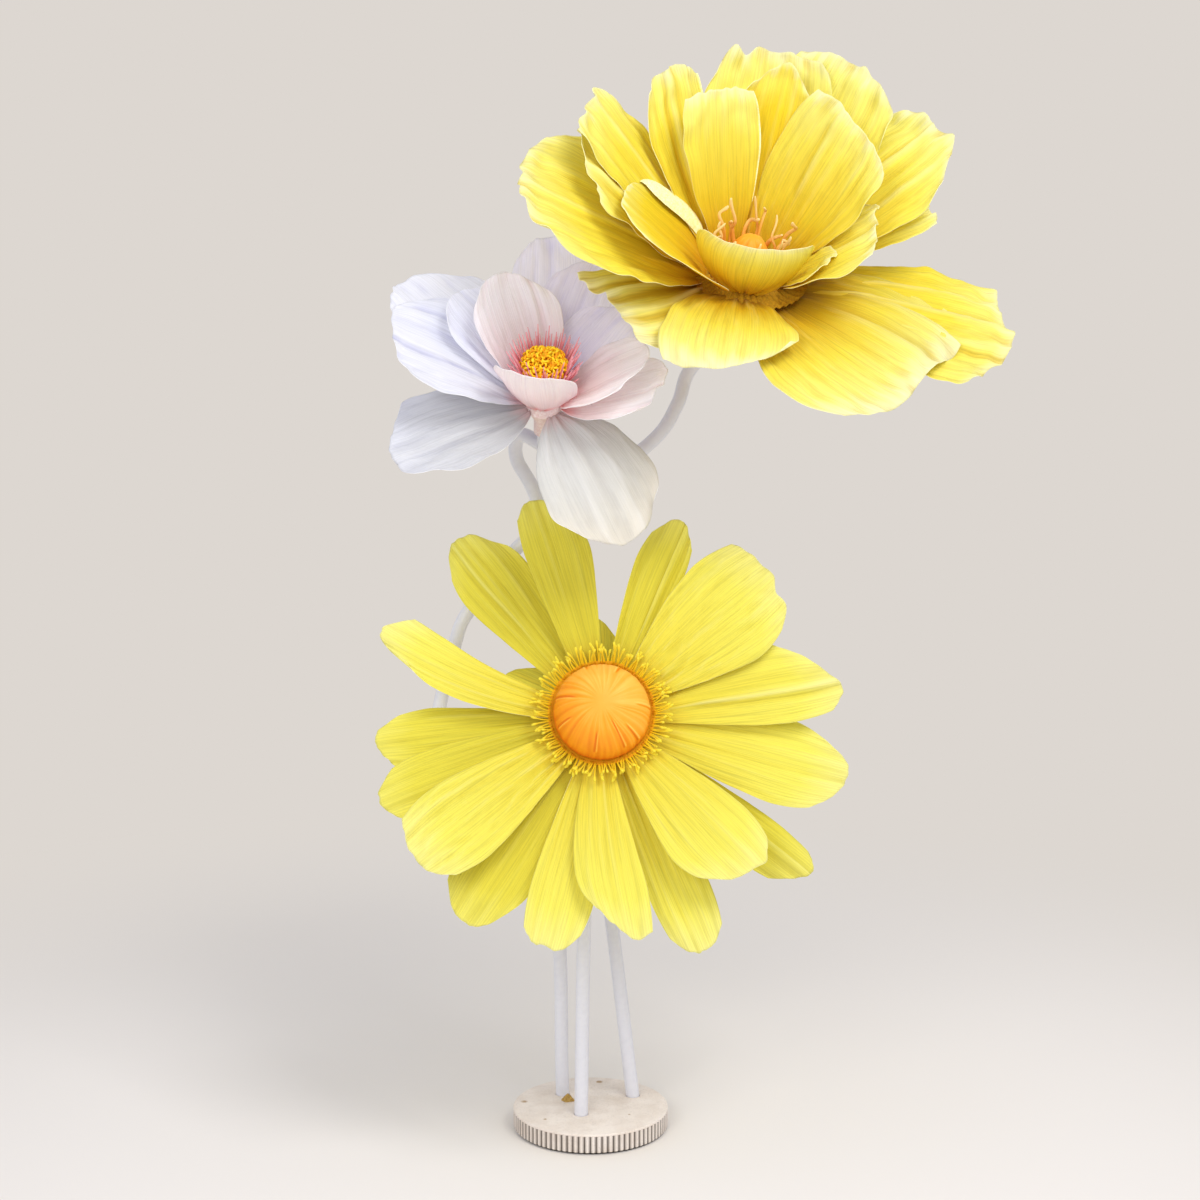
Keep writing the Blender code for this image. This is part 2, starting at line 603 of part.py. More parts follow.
def add_base(group, helpers):
    """Stone disc with flutes round its edge under a thin plain lip, and a socket for each stem."""
    bottom = PAD_THICKNESS + GAP
    lip = BASE_TOP - LIP_HEIGHT
    points, faces = [], []
    pitch = 2 * math.pi / FLUTES
    crown = FLUTE_CROWN_SHARE / 2
    rings = (
        (bottom, FLUTE_DEPTH, 0),
        (lip, FLUTE_DEPTH, 0),
        (lip, 0, 0),
        (BASE_TOP, 0, LIP_TAPER),
    )
    for height, depth, inset in rings:
        for flute in range(FLUTES):
            for share, sunk in ((-crown, 0), (crown, 0), (0.5, depth)):
                radius = BASE_RADIUS - sunk - inset
                bearing = pitch * (flute + share)
                points.append((radius * math.cos(bearing), radius * math.sin(bearing), height))
    count = 3 * FLUTES
    for ring in range(len(rings) - 1):
        for column in range(count):
            after = (column + 1) % count
            near, far = ring * count, (ring + 1) * count
            faces.append((near + column, near + after, far + after, far + column))
    faces.append(tuple(range(count)))
    faces.append(tuple(range(len(points) - count, len(points))))
    made = mesh_object("base_disc", points, faces, STONE, MATT, group)
    for name, route in (("daisy", DAISY_ROUTE), ("white", WHITE_ROUTE), ("gold", GOLD_ROUTE)):
        bpy.ops.mesh.primitive_cylinder_add(
            vertices=SOCKET_SIDES,
            radius=STEM_RADIUS + SOCKET_CLEARANCE,
            depth=2 * BASE_SOCKET_DEPTH,
        )
        cutter = helper(bpy.context.object)
        mouth, rising = foot_line(route)
        turn = rising.to_track_quat("Z", "Y").to_matrix().to_4x4()
        cutter.matrix_world = Matrix.Translation(mouth) @ turn
        cutter.name = name + "_socket"
        for holder in list(cutter.users_collection):
            holder.objects.unlink(cutter)
        helpers.objects.link(cutter)
        combine(made, cutter, "DIFFERENCE")


def add_pad(group):
    radius = BASE_RADIUS - FLUTE_DEPTH - PAD_INSET
    profile = ((0, PAD_THICKNESS), (radius, PAD_THICKNESS), (radius, 0), (0, 0))
    turned("foot_pad", profile, PAD_SIDES, RUBBER, MATT, group)


def add_chip(group):
    """Rough little pyramid of stone with a flat underside."""
    data = bpy.data.meshes.new("stone_chip")
    shape = bmesh.new()
    bmesh.ops.create_icosphere(shape, subdivisions=1, radius=1)
    for number, vertex in enumerate(shape.verts):
        rough = 1 + CHIP_ROUGH * math.sin(CHIP_PHASE * number)
        vertex.co.x *= rough
        vertex.co.y *= rough
        vertex.co.z = max(vertex.co.z * rough, -CHIP_FLAT)
    shape.to_mesh(data)
    shape.free()
    made = add_object("stone_chip", data, OCHRE, CARD, group)
    made.scale = CHIP_SIZE
    made.location = (*CHIP_PLACE, BASE_TOP + GAP + CHIP_FLAT * CHIP_SIZE[2])


def main():
    for leftover in list(bpy.data.objects):
        bpy.data.objects.remove(leftover, do_unlink=True)
    part = bpy.data.collections.new("giant_paper_flower")
    helpers = bpy.data.collections.new("helpers")
    for group in (part, helpers):
        bpy.context.scene.collection.children.link(group)
    add_base(part, helpers)
    add_pad(part)
    add_chip(part)
    add_stem("daisy_stem", DAISY_ROUTE, DAISY_PLACE, DAISY_HUB, part)
    add_stem("white_stem", WHITE_ROUTE, WHITE_PLACE, WHITE_HUB, part)
    add_stem("gold_stem", GOLD_ROUTE, GOLD_PLACE, GOLD_HUB, part)
    daisy_hub = add_hub("daisy_hub", DAISY_HUB, DAISY_PLACE, OLIVE, part)
    add_sepals(daisy_hub, helpers)
    add_hub("white_hub", WHITE_HUB, WHITE_PLACE, BLOOM_WHITE, part)
    add_hub("gold_hub", GOLD_HUB, GOLD_PLACE, GOLD, part)
    for flower, petals, hub, root, place, colour, along in (
        ("daisy", DAISY_PETALS, DAISY_HUB, DAISY_ROOT, DAISY_PLACE, LEMON, ALONG_STRAP),
        ("white", WHITE_PETALS, WHITE_HUB, WHITE_ROOT, WHITE_PLACE, BLOOM_WHITE, ALONG_BROAD),
        ("gold", GOLD_PETALS, GOLD_HUB, GOLD_ROOT, GOLD_PLACE, GOLD, ALONG_STRAP),
    ):
        add_petals(flower, petals, hub, root, place, colour, along, part)
    add_dome(part)
    add_daisy_fringe(part)
    add_white_centre(part, helpers)
    add_gold_centre(part, helpers)


main()
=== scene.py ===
"""Floor display of three giant paper flowers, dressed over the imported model, in metres.

A yellow daisy, a white anemone and a golden peony stand on white wrapped stems in one reeded
stone disc. Petals are crepe and tissue paper, cut from patterns and glued to card hubs.
"""

import json
import math

import bpy
import numpy as np
from mathutils import Matrix, Vector, noise

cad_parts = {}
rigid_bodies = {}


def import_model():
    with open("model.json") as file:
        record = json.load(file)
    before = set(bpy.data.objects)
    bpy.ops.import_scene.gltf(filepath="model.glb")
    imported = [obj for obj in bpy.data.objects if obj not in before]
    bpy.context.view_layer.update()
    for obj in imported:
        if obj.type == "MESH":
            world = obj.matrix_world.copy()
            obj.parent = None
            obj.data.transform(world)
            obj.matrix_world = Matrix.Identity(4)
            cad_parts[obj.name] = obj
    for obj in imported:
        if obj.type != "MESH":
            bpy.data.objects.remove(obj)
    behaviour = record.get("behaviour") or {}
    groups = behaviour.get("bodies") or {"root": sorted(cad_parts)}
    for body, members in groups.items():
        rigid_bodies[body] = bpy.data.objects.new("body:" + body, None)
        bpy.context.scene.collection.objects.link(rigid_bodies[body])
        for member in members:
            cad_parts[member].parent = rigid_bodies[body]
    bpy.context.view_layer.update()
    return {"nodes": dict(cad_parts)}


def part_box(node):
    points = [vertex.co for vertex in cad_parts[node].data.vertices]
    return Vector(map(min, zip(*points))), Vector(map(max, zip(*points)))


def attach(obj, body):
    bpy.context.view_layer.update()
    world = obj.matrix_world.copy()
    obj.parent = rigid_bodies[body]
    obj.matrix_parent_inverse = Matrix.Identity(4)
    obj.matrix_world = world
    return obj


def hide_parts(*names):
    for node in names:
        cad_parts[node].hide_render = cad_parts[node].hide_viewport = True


for leftover in list(bpy.data.objects):
    bpy.data.objects.remove(leftover, do_unlink=True)
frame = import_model()


# Stone base
# A disc of pale cast travertine, turned on a lathe and reeded round its edge with a half-round
# cutter under a thin plain lip. The face is sanded matt, the grooves are painted dark as shade,
# and a few rusty inclusions show in the face. Three slanting sockets are drilled for the stems.
STONE_RADIUS = 0.125
STONE_LOW = 0.0033
STONE_TOP = 0.034
LIP_LOW = 0.0302
LIP_ROUND = 0.0012
FOOT_INSET = 0.0016
FOOT_RISE = 0.0012
REEDS = 84
REED_DEPTH = 0.0025
REED_SHARE = 0.46
REED_COLUMNS = 10
REED_MIDDLE = 0.010
REED_RUNOUT = 0.0012
# Painted shade in the grooves between the reeds: how it spreads across a groove, and how dark it gets
GROOVE_SHADE_SPREAD = 0.6
GROOVE_SHADE_COVER = 0.98
SOCKET_RADIUS = 0.0118
SOCKET_DEPTH = 0.024
SOCKET_SIDES = 40
CLOUDS_PER_METRE = 26
GRAINS_PER_METRE = 900
PITS_PER_METRE = 260
STONE_PALE = "#F3E8DE"
STONE_BODY = "#E4D6C9"
# Colour of the painted shade in the reed grooves
STONE_GROOVE_SHADE = "#3E2F22"
STONE_RUST = "#A8824E"
# Rusty inclusions: x, y and size
RUSTY_SPOTS = (
    (-0.107, 0.014, 0.0075),
    (0.014, 0.104, 0.0060),
    (-0.072, -0.060, 0.0040),
    (0.062, -0.040, 0.0028),
)
# Routes of the stems: where each enters the stone, then the points it bends through
DAISY_ROUTE = ((-0.015, -0.038), (-0.010, -0.034, 0.337), (-0.001, -0.018, 0.520))
WHITE_ROUTE = (
    (0.069, 0.043),
    (0.036, 0.046, 0.313),
    (-0.001, 0.050, 0.594),
    (-0.045, 0.050, 0.854),
    (-0.084, 0.050, 1.013),
    (-0.116, 0.044, 1.080),
    (-0.108, 0.018, 1.118),
)
GOLD_ROUTE = (
    (-0.046, 0.049),
    (-0.055, 0.058, 0.330),
    (-0.105, 0.068, 0.430),
    (-0.205, 0.080, 0.505),
    (-0.247, 0.085, 0.585),
    (-0.248, 0.085, 0.653),
    (-0.219, 0.088, 0.775),
    (-0.195, 0.090, 0.832),
    (-0.116, 0.095, 0.933),
    (-0.009, 0.100, 1.021),
    (0.100, 0.100, 1.104),
    (0.138, 0.096, 1.161),
    (0.158, 0.095, 1.216),
)


def linear(code):
    """Linear light of an sRGB hex colour, with alpha."""
    parts = [int(code[i : i + 2], 16) / 255 for i in (1, 3, 5)]
    light = [c / 12.92 if c <= 0.04045 else ((c + 0.055) / 1.055) ** 2.4 for c in parts]
    return (*light, 1)


def add_node(finish, kind, settings=None, links=None):
    """Adds a shader node to a material or world, with its settings, and with links to its inputs."""
    tree = finish.node_tree
    made = tree.nodes.new("ShaderNode" + kind)
    for key, value in (settings or {}).items():
        if key == "stops":
            ramp = made.color_ramp
            while len(ramp.elements) < len(value):
                ramp.elements.new(1)
            for element, (place, code) in zip(ramp.elements, value):
                element.position = place
                element.color = linear(code)
        elif isinstance(key, int) or key in made.inputs:
            made.inputs[key].default_value = value
        else:
            setattr(made, key, value)
    for key, source in (links or {}).items():
        tree.links.new(source, made.inputs[key])
    return made


def new_finish(name):
    """Empty node material, named for the real one."""
    made = bpy.data.materials.new(name)
    made.use_nodes = True
    made.node_tree.nodes.clear()
    return made


def close_finish(finish, shader):
    """Joins the last shader to the material's output."""
    add_node(finish, "OutputMaterial", links={"Surface": shader.outputs[0]})
    return finish


def coat(finish, roughness, ior, colour, relief):
    """Opaque surface with a colour and a bump."""
    settings = {"Roughness": roughness, "IOR": ior}
    return add_node(finish, "BsdfPrincipled", settings, {"Base Color": colour, "Normal": relief})


def reckon(finish, operation, *values):
    """Result of a sum: numbers are set, and outputs of other nodes are linked."""
    numbers = {place: value for place, value in enumerate(values) if isinstance(value, float)}
    sources = {place: value for place, value in enumerate(values) if place not in numbers}
    return add_node(finish, "Math", {"operation": operation, **numbers}, sources).outputs[0]


def remap(finish, source, span, to):
    """Value that runs between the two ends of to while source runs over span."""
    ends = dict(enumerate((*span, *to), 1))
    return add_node(finish, "MapRange", ends, {0: source}).outputs[0]


def grid_faces(rows, columns, closed=False):
    """Quads of a grid of points; a closed one joins its last column to its first."""
    row, column = np.meshgrid(np.arange(rows - 1), np.arange(columns - (not closed)), indexing="ij")
    after = (column + 1) % columns
    corners = (row * columns + column, row * columns + after)
    above = ((row + 1) * columns + after, (row + 1) * columns + column)
    return np.stack([*corners, *above], -1).reshape(-1, 4).tolist()


def add_piece(name, points, faces, *finishes):
    """Smooth-shaded mesh piece that belongs to the object."""
    mesh = bpy.data.meshes.new(name)
    mesh.from_pydata(np.reshape(points, (-1, 3)).tolist(), [], faces)
    mesh.polygons.foreach_set("use_smooth", [True] * len(mesh.polygons))
    for finish in finishes:
        mesh.materials.append(finish)
    made = bpy.data.objects.new(name, mesh)
    bpy.context.scene.collection.objects.link(made)
    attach(made, "root")
    return made


def mark_points(piece, name, values):
    """Gives a piece's points a value that its material reads."""
    piece.data.attributes.new(name, "FLOAT", "POINT").data.foreach_set("value", np.ravel(values))


def foot_line(route):
    """Where a stem enters the stone, and the direction it rises in."""
    mouth = Vector((*route[0], STONE_TOP))
    return mouth, (Vector(route[1]) - mouth).normalized()


def travertine():
    """Matt sanded stone: fine grain, faint clouds, pits 1 to 2 mm wide, painted shade in the grooves."""
    finish = new_finish("cast_travertine")
    place = add_node(finish, "TexCoord").outputs["Object"]
    cloudy = {"Scale": CLOUDS_PER_METRE, "Detail": 6, "Roughness": 0.6}
    clouds = add_node(finish, "TexNoise", cloudy, {"Vector": place})
    grains = add_node(finish, "TexNoise", {"Scale": GRAINS_PER_METRE, "Detail": 3}, {"Vector": place})
    pits = add_node(finish, "TexVoronoi", {"Scale": PITS_PER_METRE, "feature": "F1"}, {"Vector": place})
    body = add_node(
        finish,
        "ValToRGB",
        {"stops": ((0.32, STONE_BODY), (0.62, STONE_PALE))},
        {0: clouds.outputs["Fac"]},
    )
    pit = remap(finish, pits.outputs["Distance"], (0.10, 0.24), (0.72, 1.0))
    speckle = remap(finish, grains.outputs["Fac"], (0.30, 0.70), (0.90, 1.06))
    shade = reckon(finish, "MULTIPLY", pit, speckle)
    face = add_node(
        finish,
        "Mix",
        {"data_type": "RGBA", "blend_type": "MULTIPLY", 0: 1.0},
        {6: body.outputs[0], 7: shade},
    )
    colour = face.outputs[2]
    for x, y, size in RUSTY_SPOTS:
        away = add_node(
            finish,
            "VectorMath",
            {"operation": "DISTANCE", 1: (x, y, STONE_TOP)},
            {0: place},
        )
        ragged = reckon(finish, "MULTIPLY_ADD", clouds.outputs["Fac"], 2.2 * size, away.outputs["Value"])
        spot = remap(finish, ragged, (1.55 * size, 2.15 * size), (0.8, 0.0))
        stained = add_node(
            finish,
            "Mix",
            {"data_type": "RGBA", 7: linear(STONE_RUST)},
            {0: spot, 6: colour},
        )
        colour = stained.outputs[2]
    # The grooves between the reeds are painted dark: painted shade
    groove = add_node(finish, "Attribute", {"attribute_name": "groove"})
    groove_shaded = add_node(
        finish,
        "Mix",
        {"data_type": "RGBA", 7: linear(STONE_GROOVE_SHADE)},
        {0: groove.outputs["Fac"], 6: colour},
    )
    bump = add_node(finish, "Bump", {"Strength": 0.5, "Distance": 0.0006}, {"Height": shade})
    return close_finish(finish, coat(finish, 0.82, 1.5, groove_shaded.outputs[2], bump.outputs[0]))


columns = REEDS * REED_COLUMNS
bearings = 2 * math.pi * np.arange(columns) / columns
along_reed = np.abs((np.arange(columns) / REED_COLUMNS) % 1 - 0.5)
crown = np.sqrt(np.clip(1 - (along_reed / REED_SHARE) ** 2, 0, 1))
# Up the edge of the disc: height, inset, and how far the reeds are cut in
rings = [(STONE_LOW, -FOOT_INSET, 1), (STONE_LOW + FOOT_RISE, 0, 1)]
rings += [(height, 0, 1) for height in np.linspace(REED_MIDDLE, LIP_LOW - REED_RUNOUT, 4)]
rings += [(LIP_LOW, -0.0006, 0.8), (LIP_LOW + 0.0002, -0.0002, 0), (LIP_LOW + 0.0007, 0, 0)]
for step in range(6):
    turn = math.pi / 2 * step / 5
    inset = LIP_ROUND * (1 - math.cos(turn))
    rings.append((STONE_TOP - LIP_ROUND * (1 - math.sin(turn)), -inset, 0))
points, grooves = [], []
for height, inset, reeded in rings:
    radius = STONE_RADIUS + inset - reeded * REED_DEPTH * (1 - crown)
    points.append(np.stack([radius * np.cos(bearings), radius * np.sin(bearings), 0 * radius + height], -1))
    # Strength of the painted groove shade at each point
    grooves.append(reeded * (1 - crown) ** GROOVE_SHADE_SPREAD * GROOVE_SHADE_COVER)
faces = grid_faces(len(rings), columns, closed=True)
faces.append(list(range(columns))[::-1])
faces.append(list(range((len(rings) - 1) * columns, len(rings) * columns)))
stone = add_piece("stone_disc", points, faces, travertine())
mark_points(stone, "groove", grooves)
for number, route in enumerate((DAISY_ROUTE, WHITE_ROUTE, GOLD_ROUTE)):
    mouth, rising = foot_line(route)
    bpy.ops.mesh.primitive_cylinder_add(vertices=SOCKET_SIDES, radius=SOCKET_RADIUS, depth=2 * SOCKET_DEPTH)
    drill = bpy.context.object
    turn = rising.to_track_quat("Z", "Y").to_matrix().to_4x4()
    drill.matrix_world = Matrix.Translation(mouth) @ turn
    cut = stone.modifiers.new(f"socket_{number}", "BOOLEAN")
    cut.operation = "DIFFERENCE"
    cut.solver = "EXACT"
    cut.object = drill
bpy.context.view_layer.update()
cut_stone = bpy.data.meshes.new_from_object(stone.evaluated_get(bpy.context.evaluated_depsgraph_get()))
for cut in list(stone.modifiers):
    bpy.data.objects.remove(cut.object)
    stone.modifiers.remove(cut)
stone.data = cut_stone
stone.data.set_sharp_from_angle(angle=math.radians(50))
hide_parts("base_disc")


# Foot pad
# A disc of black rubber sheet, 3 mm thick, punched out and glued under the stone, so that it
# doesn't slide or scratch. It is matt and shows only as a dark line, which also stands in for the
# stone's contact shadow: painted shade.
# Near-black: the pad's rubber, and the painted contact shadow under the stone
PAD_BLACK = "#26231F"
DIMPLES_PER_METRE = 700
rubber = new_finish("rubber_sheet")
inside = add_node(rubber, "TexCoord").outputs["Object"]
skin = add_node(rubber, "TexNoise", {"Scale": DIMPLES_PER_METRE, "Detail": 2}, {"Vector": inside})
pressed = add_node(rubber, "Bump", {"Strength": 0.3, "Distance": 0.0003}, {"Height": skin.outputs["Fac"]})
close_finish(
    rubber,
    add_node(
        rubber,
        "BsdfPrincipled",
        {"Base Color": linear(PAD_BLACK), "Roughness": 0.9, "IOR": 1.52},
        {"Normal": pressed.outputs[0]},
    ),
)
frame["nodes"]["foot_pad"].data.materials.clear()
frame["nodes"]["foot_pad"].data.materials.append(rubber)


# Stone chip
# A split of ochre sandstone that lies loose on the disc, a little pyramid with broken faces.
# Its grains are drawn a little over 2 mm wide, so that they show.
CHIP_DARK = "#8F6C2C"
CHIP_PALE = "#C9A55A"
CHIP_ROWS = 10
CHIP_SIDES = 22
SAND_PER_METRE = 420
sandstone = new_finish("split_sandstone")
inside = add_node(sandstone, "TexCoord").outputs["Object"]
sand = add_node(sandstone, "TexNoise", {"Scale": SAND_PER_METRE, "Detail": 4}, {"Vector": inside})
ochres = {"stops": ((0.35, CHIP_DARK), (0.65, CHIP_PALE))}
tint = add_node(sandstone, "ValToRGB", ochres, {0: sand.outputs["Fac"]})
rough = add_node(sandstone, "Bump", {"Strength": 0.8, "Distance": 0.0008}, {"Height": sand.outputs["Fac"]})
close_finish(sandstone, coat(sandstone, 0.8, 1.5, tint.outputs[0], rough.outputs[0]))
chip_low, chip_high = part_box("stone_chip")
chip_middle, chip_size = (chip_low + chip_high) / 2, (chip_high - chip_low) / 2
down = np.linspace(0.02, math.pi - 0.02, CHIP_ROWS)
bearings = 2 * math.pi * np.arange(CHIP_SIDES) / CHIP_SIDES
polar, turn = np.meshgrid(down, bearings, indexing="ij")
facets = 1 - 0.22 * np.abs(np.sin(2 * turn + 0.6)) - 0.08 * np.abs(np.sin(3 * polar + turn))
slim = np.clip(((1 - np.cos(polar)) / 2) ** 0.75 * np.minimum(1, 6 * (math.pi - polar)), 0.03, 1)
points = np.stack(
    [
        chip_middle.x + chip_size.x * slim * facets * np.cos(turn) * 1.25,
        chip_middle.y + chip_size.y * slim * facets * np.sin(turn) * 1.25,
        np.maximum(chip_middle.z + chip_size.z * np.cos(polar) * 1.1, chip_low.z),
    ],
    -1,
)
faces = grid_faces(CHIP_ROWS, CHIP_SIDES, closed=True)
faces += [list(range(CHIP_SIDES))[::-1], list(range((CHIP_ROWS - 1) * CHIP_SIDES, CHIP_ROWS * CHIP_SIDES))]
chip = add_piece("loose_chip", points, faces, sandstone)
chip.data.set_sharp_from_angle(angle=math.radians(24))
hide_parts("stone_chip")


# Stems
# Bent plastic conduit, 22 mm across with its wrap: a satin white paper tape, wound on in a slow
# spiral and brushed with glue, so its turns show as faint steps. They stand in the sockets.
STEM_RADIUS = 0.011
STEM_WHITE = "#E2E2E9"
STEM_SHADE = "#DEDEE6"
TAPE_PITCH = 0.055
TAPE_STEP = 0.0001
STEM_STEPS = 14
STEM_SIDES = 28
STEM_LUMPS = 0.0012
LUMPS_PER_METRE = 30
STRAIGHT_FOOT = 0.022
STRAIGHT_LEAD = 0.030
HUB_SOCKET = 0.028
END_GAP = 0.001
# Places of the flowers: middle of the hub, bearing and rise of the axis in degrees, length behind
DAISY_PLACE = {"centre": (0.018, -0.100, 0.696), "turn": 0, "rise": 26, "back": 0.072}
WHITE_PLACE = {"centre": (-0.069, -0.070, 1.180), "turn": 2, "rise": 52, "back": 0.068}
GOLD_PLACE = {"centre": (0.236, 0.000, 1.369), "turn": 15, "rise": 52, "back": 0.086}


def head_frame(place):
    """Frame of a flower: +Z is its axis, +X is level."""
    turn, rise = math.radians(place["turn"]), math.radians(place["rise"])
    facing = Vector(
        (math.sin(turn) * math.cos(rise), -math.cos(turn) * math.cos(rise), math.sin(rise))
    )
    level = Vector((math.cos(turn), math.sin(turn), 0))
    axes = Matrix((level, facing.cross(level), facing)).transposed()
    return Matrix.Translation(place["centre"]) @ axes.to_4x4()


def smooth_line(points, steps):
    """Catmull-Rom curve through the points, with the ends kept."""
    points = [Vector(point) for point in points]
    padded = [2 * points[0] - points[1], *points, 2 * points[-1] - points[-2]]
    line = [points[0]]
    for index in range(1, len(points)):
        a, b, c, d = padded[index - 1 : index + 3]
        for step in range(1, steps + 1):
            t = step / steps
            bend = (2 * a - 5 * b + 4 * c - d) * t**2 + (3 * b - a - 3 * c + d) * t**3
            line.append(0.5 * (2 * b + (c - a) * t + bend))
    return line


def sweep(line, radii, sides, flatness=1.0, twist=0.0):
    """Points and quads of a closed tube along a line; flatness under 1 makes it a ribbon."""
    line = np.array([tuple(point) for point in line])
    count = len(line)
    along = np.gradient(line, axis=0)
    along /= np.linalg.norm(along, axis=1)[:, None]
    side = np.cross(along[0], (0.31, 0.17, 0.93))
    points = []
    for index in range(count):
        side = side - along[index] * (side @ along[index])
        side = side / np.linalg.norm(side)
        other = np.cross(along[index], side)
        angle = 2 * math.pi * np.arange(sides) / sides
        turned = twist * index / count
        first = side * math.cos(turned) + other * math.sin(turned)
        second = other * math.cos(turned) - side * math.sin(turned)
        ring = np.outer(np.cos(angle), first) + flatness * np.outer(np.sin(angle), second)
        points.append(line[index] + radii[index] * ring)
    faces = grid_faces(count, sides, closed=True)
    faces += [list(range(sides))[::-1], list(range((count - 1) * sides, count * sides))]
    return np.concatenate(points), faces


def wrapped_paper():
    """Satin: a glue-brushed tape, with the edge of each turn a faint step."""
    finish = new_finish("glued_paper_tape")
    cut = add_node(finish, "UVMap", {"uv_map": "cut"}).outputs[0]
    parts = add_node(finish, "SeparateXYZ", links={0: cut})
    turn = reckon(finish, "FRACT", reckon(finish, "ADD", parts.outputs[0], parts.outputs[1]))
    fibres = add_node(finish, "TexNoise", {"Scale": 6, "Detail": 5}, {"Vector": cut})
    tint = add_node(
        finish, "ValToRGB", {"stops": ((0.3, STEM_SHADE), (0.6, STEM_WHITE))}, {0: fibres.outputs["Fac"]}
    )
    step = add_node(finish, "Bump", {"Strength": 0.35, "Distance": TAPE_STEP}, {"Height": turn})
    soft = add_node(
        finish,
        "Bump",
        {"Strength": 0.10, "Distance": 0.0004},
        {"Height": fibres.outputs["Fac"], "Normal": step.outputs[0]},
    )
    return close_finish(finish, coat(finish, 0.32, 1.46, tint.outputs[0], soft.outputs[0]))


tape = wrapped_paper()
for flower, route, place in (
    ("daisy", DAISY_ROUTE, DAISY_PLACE),
    ("white", WHITE_ROUTE, WHITE_PLACE),
    ("gold", GOLD_ROUTE, GOLD_PLACE),
):
    mouth, rising = foot_line(route)
    head = head_frame(place)
    axis = head.to_3x3() @ Vector((0, 0, 1))
    entry = head @ Vector((0, 0, -place["back"]))
    free = [mouth + STRAIGHT_FOOT * rising, *route[1:], entry - STRAIGHT_LEAD * axis]
    foot = mouth - (SOCKET_DEPTH - END_GAP) * rising
    line = [foot, mouth, *smooth_line(free, STEM_STEPS), entry, entry + (HUB_SOCKET - END_GAP) * axis]
    spans = np.cumsum([0] + [(b - a).length for a, b in zip(line, line[1:])])
    lumps = [STEM_RADIUS * (1 + STEM_LUMPS * noise.noise(point * LUMPS_PER_METRE)) for point in line]
    points, faces = sweep(line, lumps, STEM_SIDES)
    stem = add_piece(flower + "_wrapped_stem", points, faces, tape)
    turns = np.tile(np.arange(STEM_SIDES) / STEM_SIDES, len(line))
    heights = np.repeat(spans / TAPE_PITCH, STEM_SIDES)
    corner = np.zeros(len(stem.data.loops), np.int32)
    stem.data.loops.foreach_get("vertex_index", corner)
    layer = stem.data.uv_layers.new(name="cut")
    across = turns[corner]
    # The quads that close the tube end at a full turn, not back at 0
    quad = across[: 4 * STEM_SIDES * (len(line) - 1)].reshape(-1, 4)
    seam = (quad.max(1) - quad.min(1)) > 0.5
    quad[seam] += quad[seam] < 0.5
    layer.data.foreach_set("uv", np.stack([across, heights[corner]], -1).ravel())
    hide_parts(flower + "_stem")


# Hubs
# Short drums rolled from grey card, covered with a strip of the flower's own paper and closed at
# the back with a cone that grips the stem. The gold hub's strip is dark amber, painted shade under
# its petals. The daisy's also carries six olive sepals of crepe.
BOSS_RADIUS = 0.016
BOSS_DEPTH = 0.01
BOSS_CLEARANCE = 0.0006
DAISY_HUB = {"radius": 0.046, "above": 0.020, "below": 0.019, "back": DAISY_PLACE["back"]}
WHITE_HUB = {"radius": 0.028, "above": 0.003, "below": 0.020, "back": WHITE_PLACE["back"]}
GOLD_HUB = {"radius": 0.058, "above": 0.004, "below": 0.018, "back": GOLD_PLACE["back"]}
HUB_ROUND = 0.0015
HUB_STEPS = 72
GAP = 0.0007
SEPALS = 6
SEPAL_FIRST = 33
SEPAL_START = 0.034
SEPAL_ROOT = 0.017
SEPAL_SWELL = 1.4
SEPAL_FINE = (36, 22)
SEPAL_THICK = 0.001
SEPAL_ROW = (-0.014, -9, -12)
SEPAL_TIP = (0.74, 0.93, 1, 0.93, 0.74)
SEPAL_CUT = (0.136, (0.034, 0.034), SEPAL_ROW, 0, SEPAL_TIP)
OLIVE_STRIP = ("#D6CA3A", "#EAE050")
BLUSH_STRIP = ("#E2C4C2", "#F2E2E0")
# Dark amber strip on the gold hub: painted shade where the hub sits under the petals
HUB_SHADE_AMBER = ("#A8700C", "#C98F14")
RIBS_PER_METRE = 320
WIDEST_AT = 0.78
SHOULDER = 0.14
BEND_STEPS = 60
HOLLOW_REACH = 4
HOLLOW_DEPTH = 4
# Width across and length along the petal of the crepe's grain, creases and dye streaks, in mm
GRAIN_MM = (4, 320)
CREASE_MM = (30, 900)
DYE_MM = (14, 120)


def bend_line(length, lean_root, lean_tip):
    """Run of a petal's middle line out from the hub and up along the axis, and its lean."""
    lean = np.radians(np.linspace(lean_root, lean_tip, BEND_STEPS + 1))
    between = (lean[1:] + lean[:-1]) / 2
    step = length / BEND_STEPS
    out = np.concatenate([[0], np.cumsum(np.cos(between)) * step])
    up = np.concatenate([[0], np.cumsum(np.sin(between)) * step])
    return out, up, lean


def curve_through(values, at):
    """Smooth curve through values that are evenly spaced from 0 to 1."""
    values = np.asarray(values, float)
    padded = np.concatenate([[2 * values[0] - values[1]], values, [2 * values[-1] - values[-2]]])
    place = np.clip(at, 0, 1) * (len(values) - 1)
    index = np.minimum(place.astype(int), len(values) - 2)
    t = place - index
    a, b, c, d = (padded[index + shift] for shift in range(4))
    bend = (2 * a - 5 * b + 4 * c - d) * t**2 + (3 * b - a - 3 * c + d) * t**3
    return 0.5 * (2 * b + (c - a) * t + bend)


def wander(x, y, seed):
    """Smooth noise from -1 to 1 over two arrays of places."""
    flat = [noise.noise(Vector((a, b, seed))) for a, b in zip(np.ravel(x), np.ravel(y))]
    return np.reshape(flat, np.shape(x))


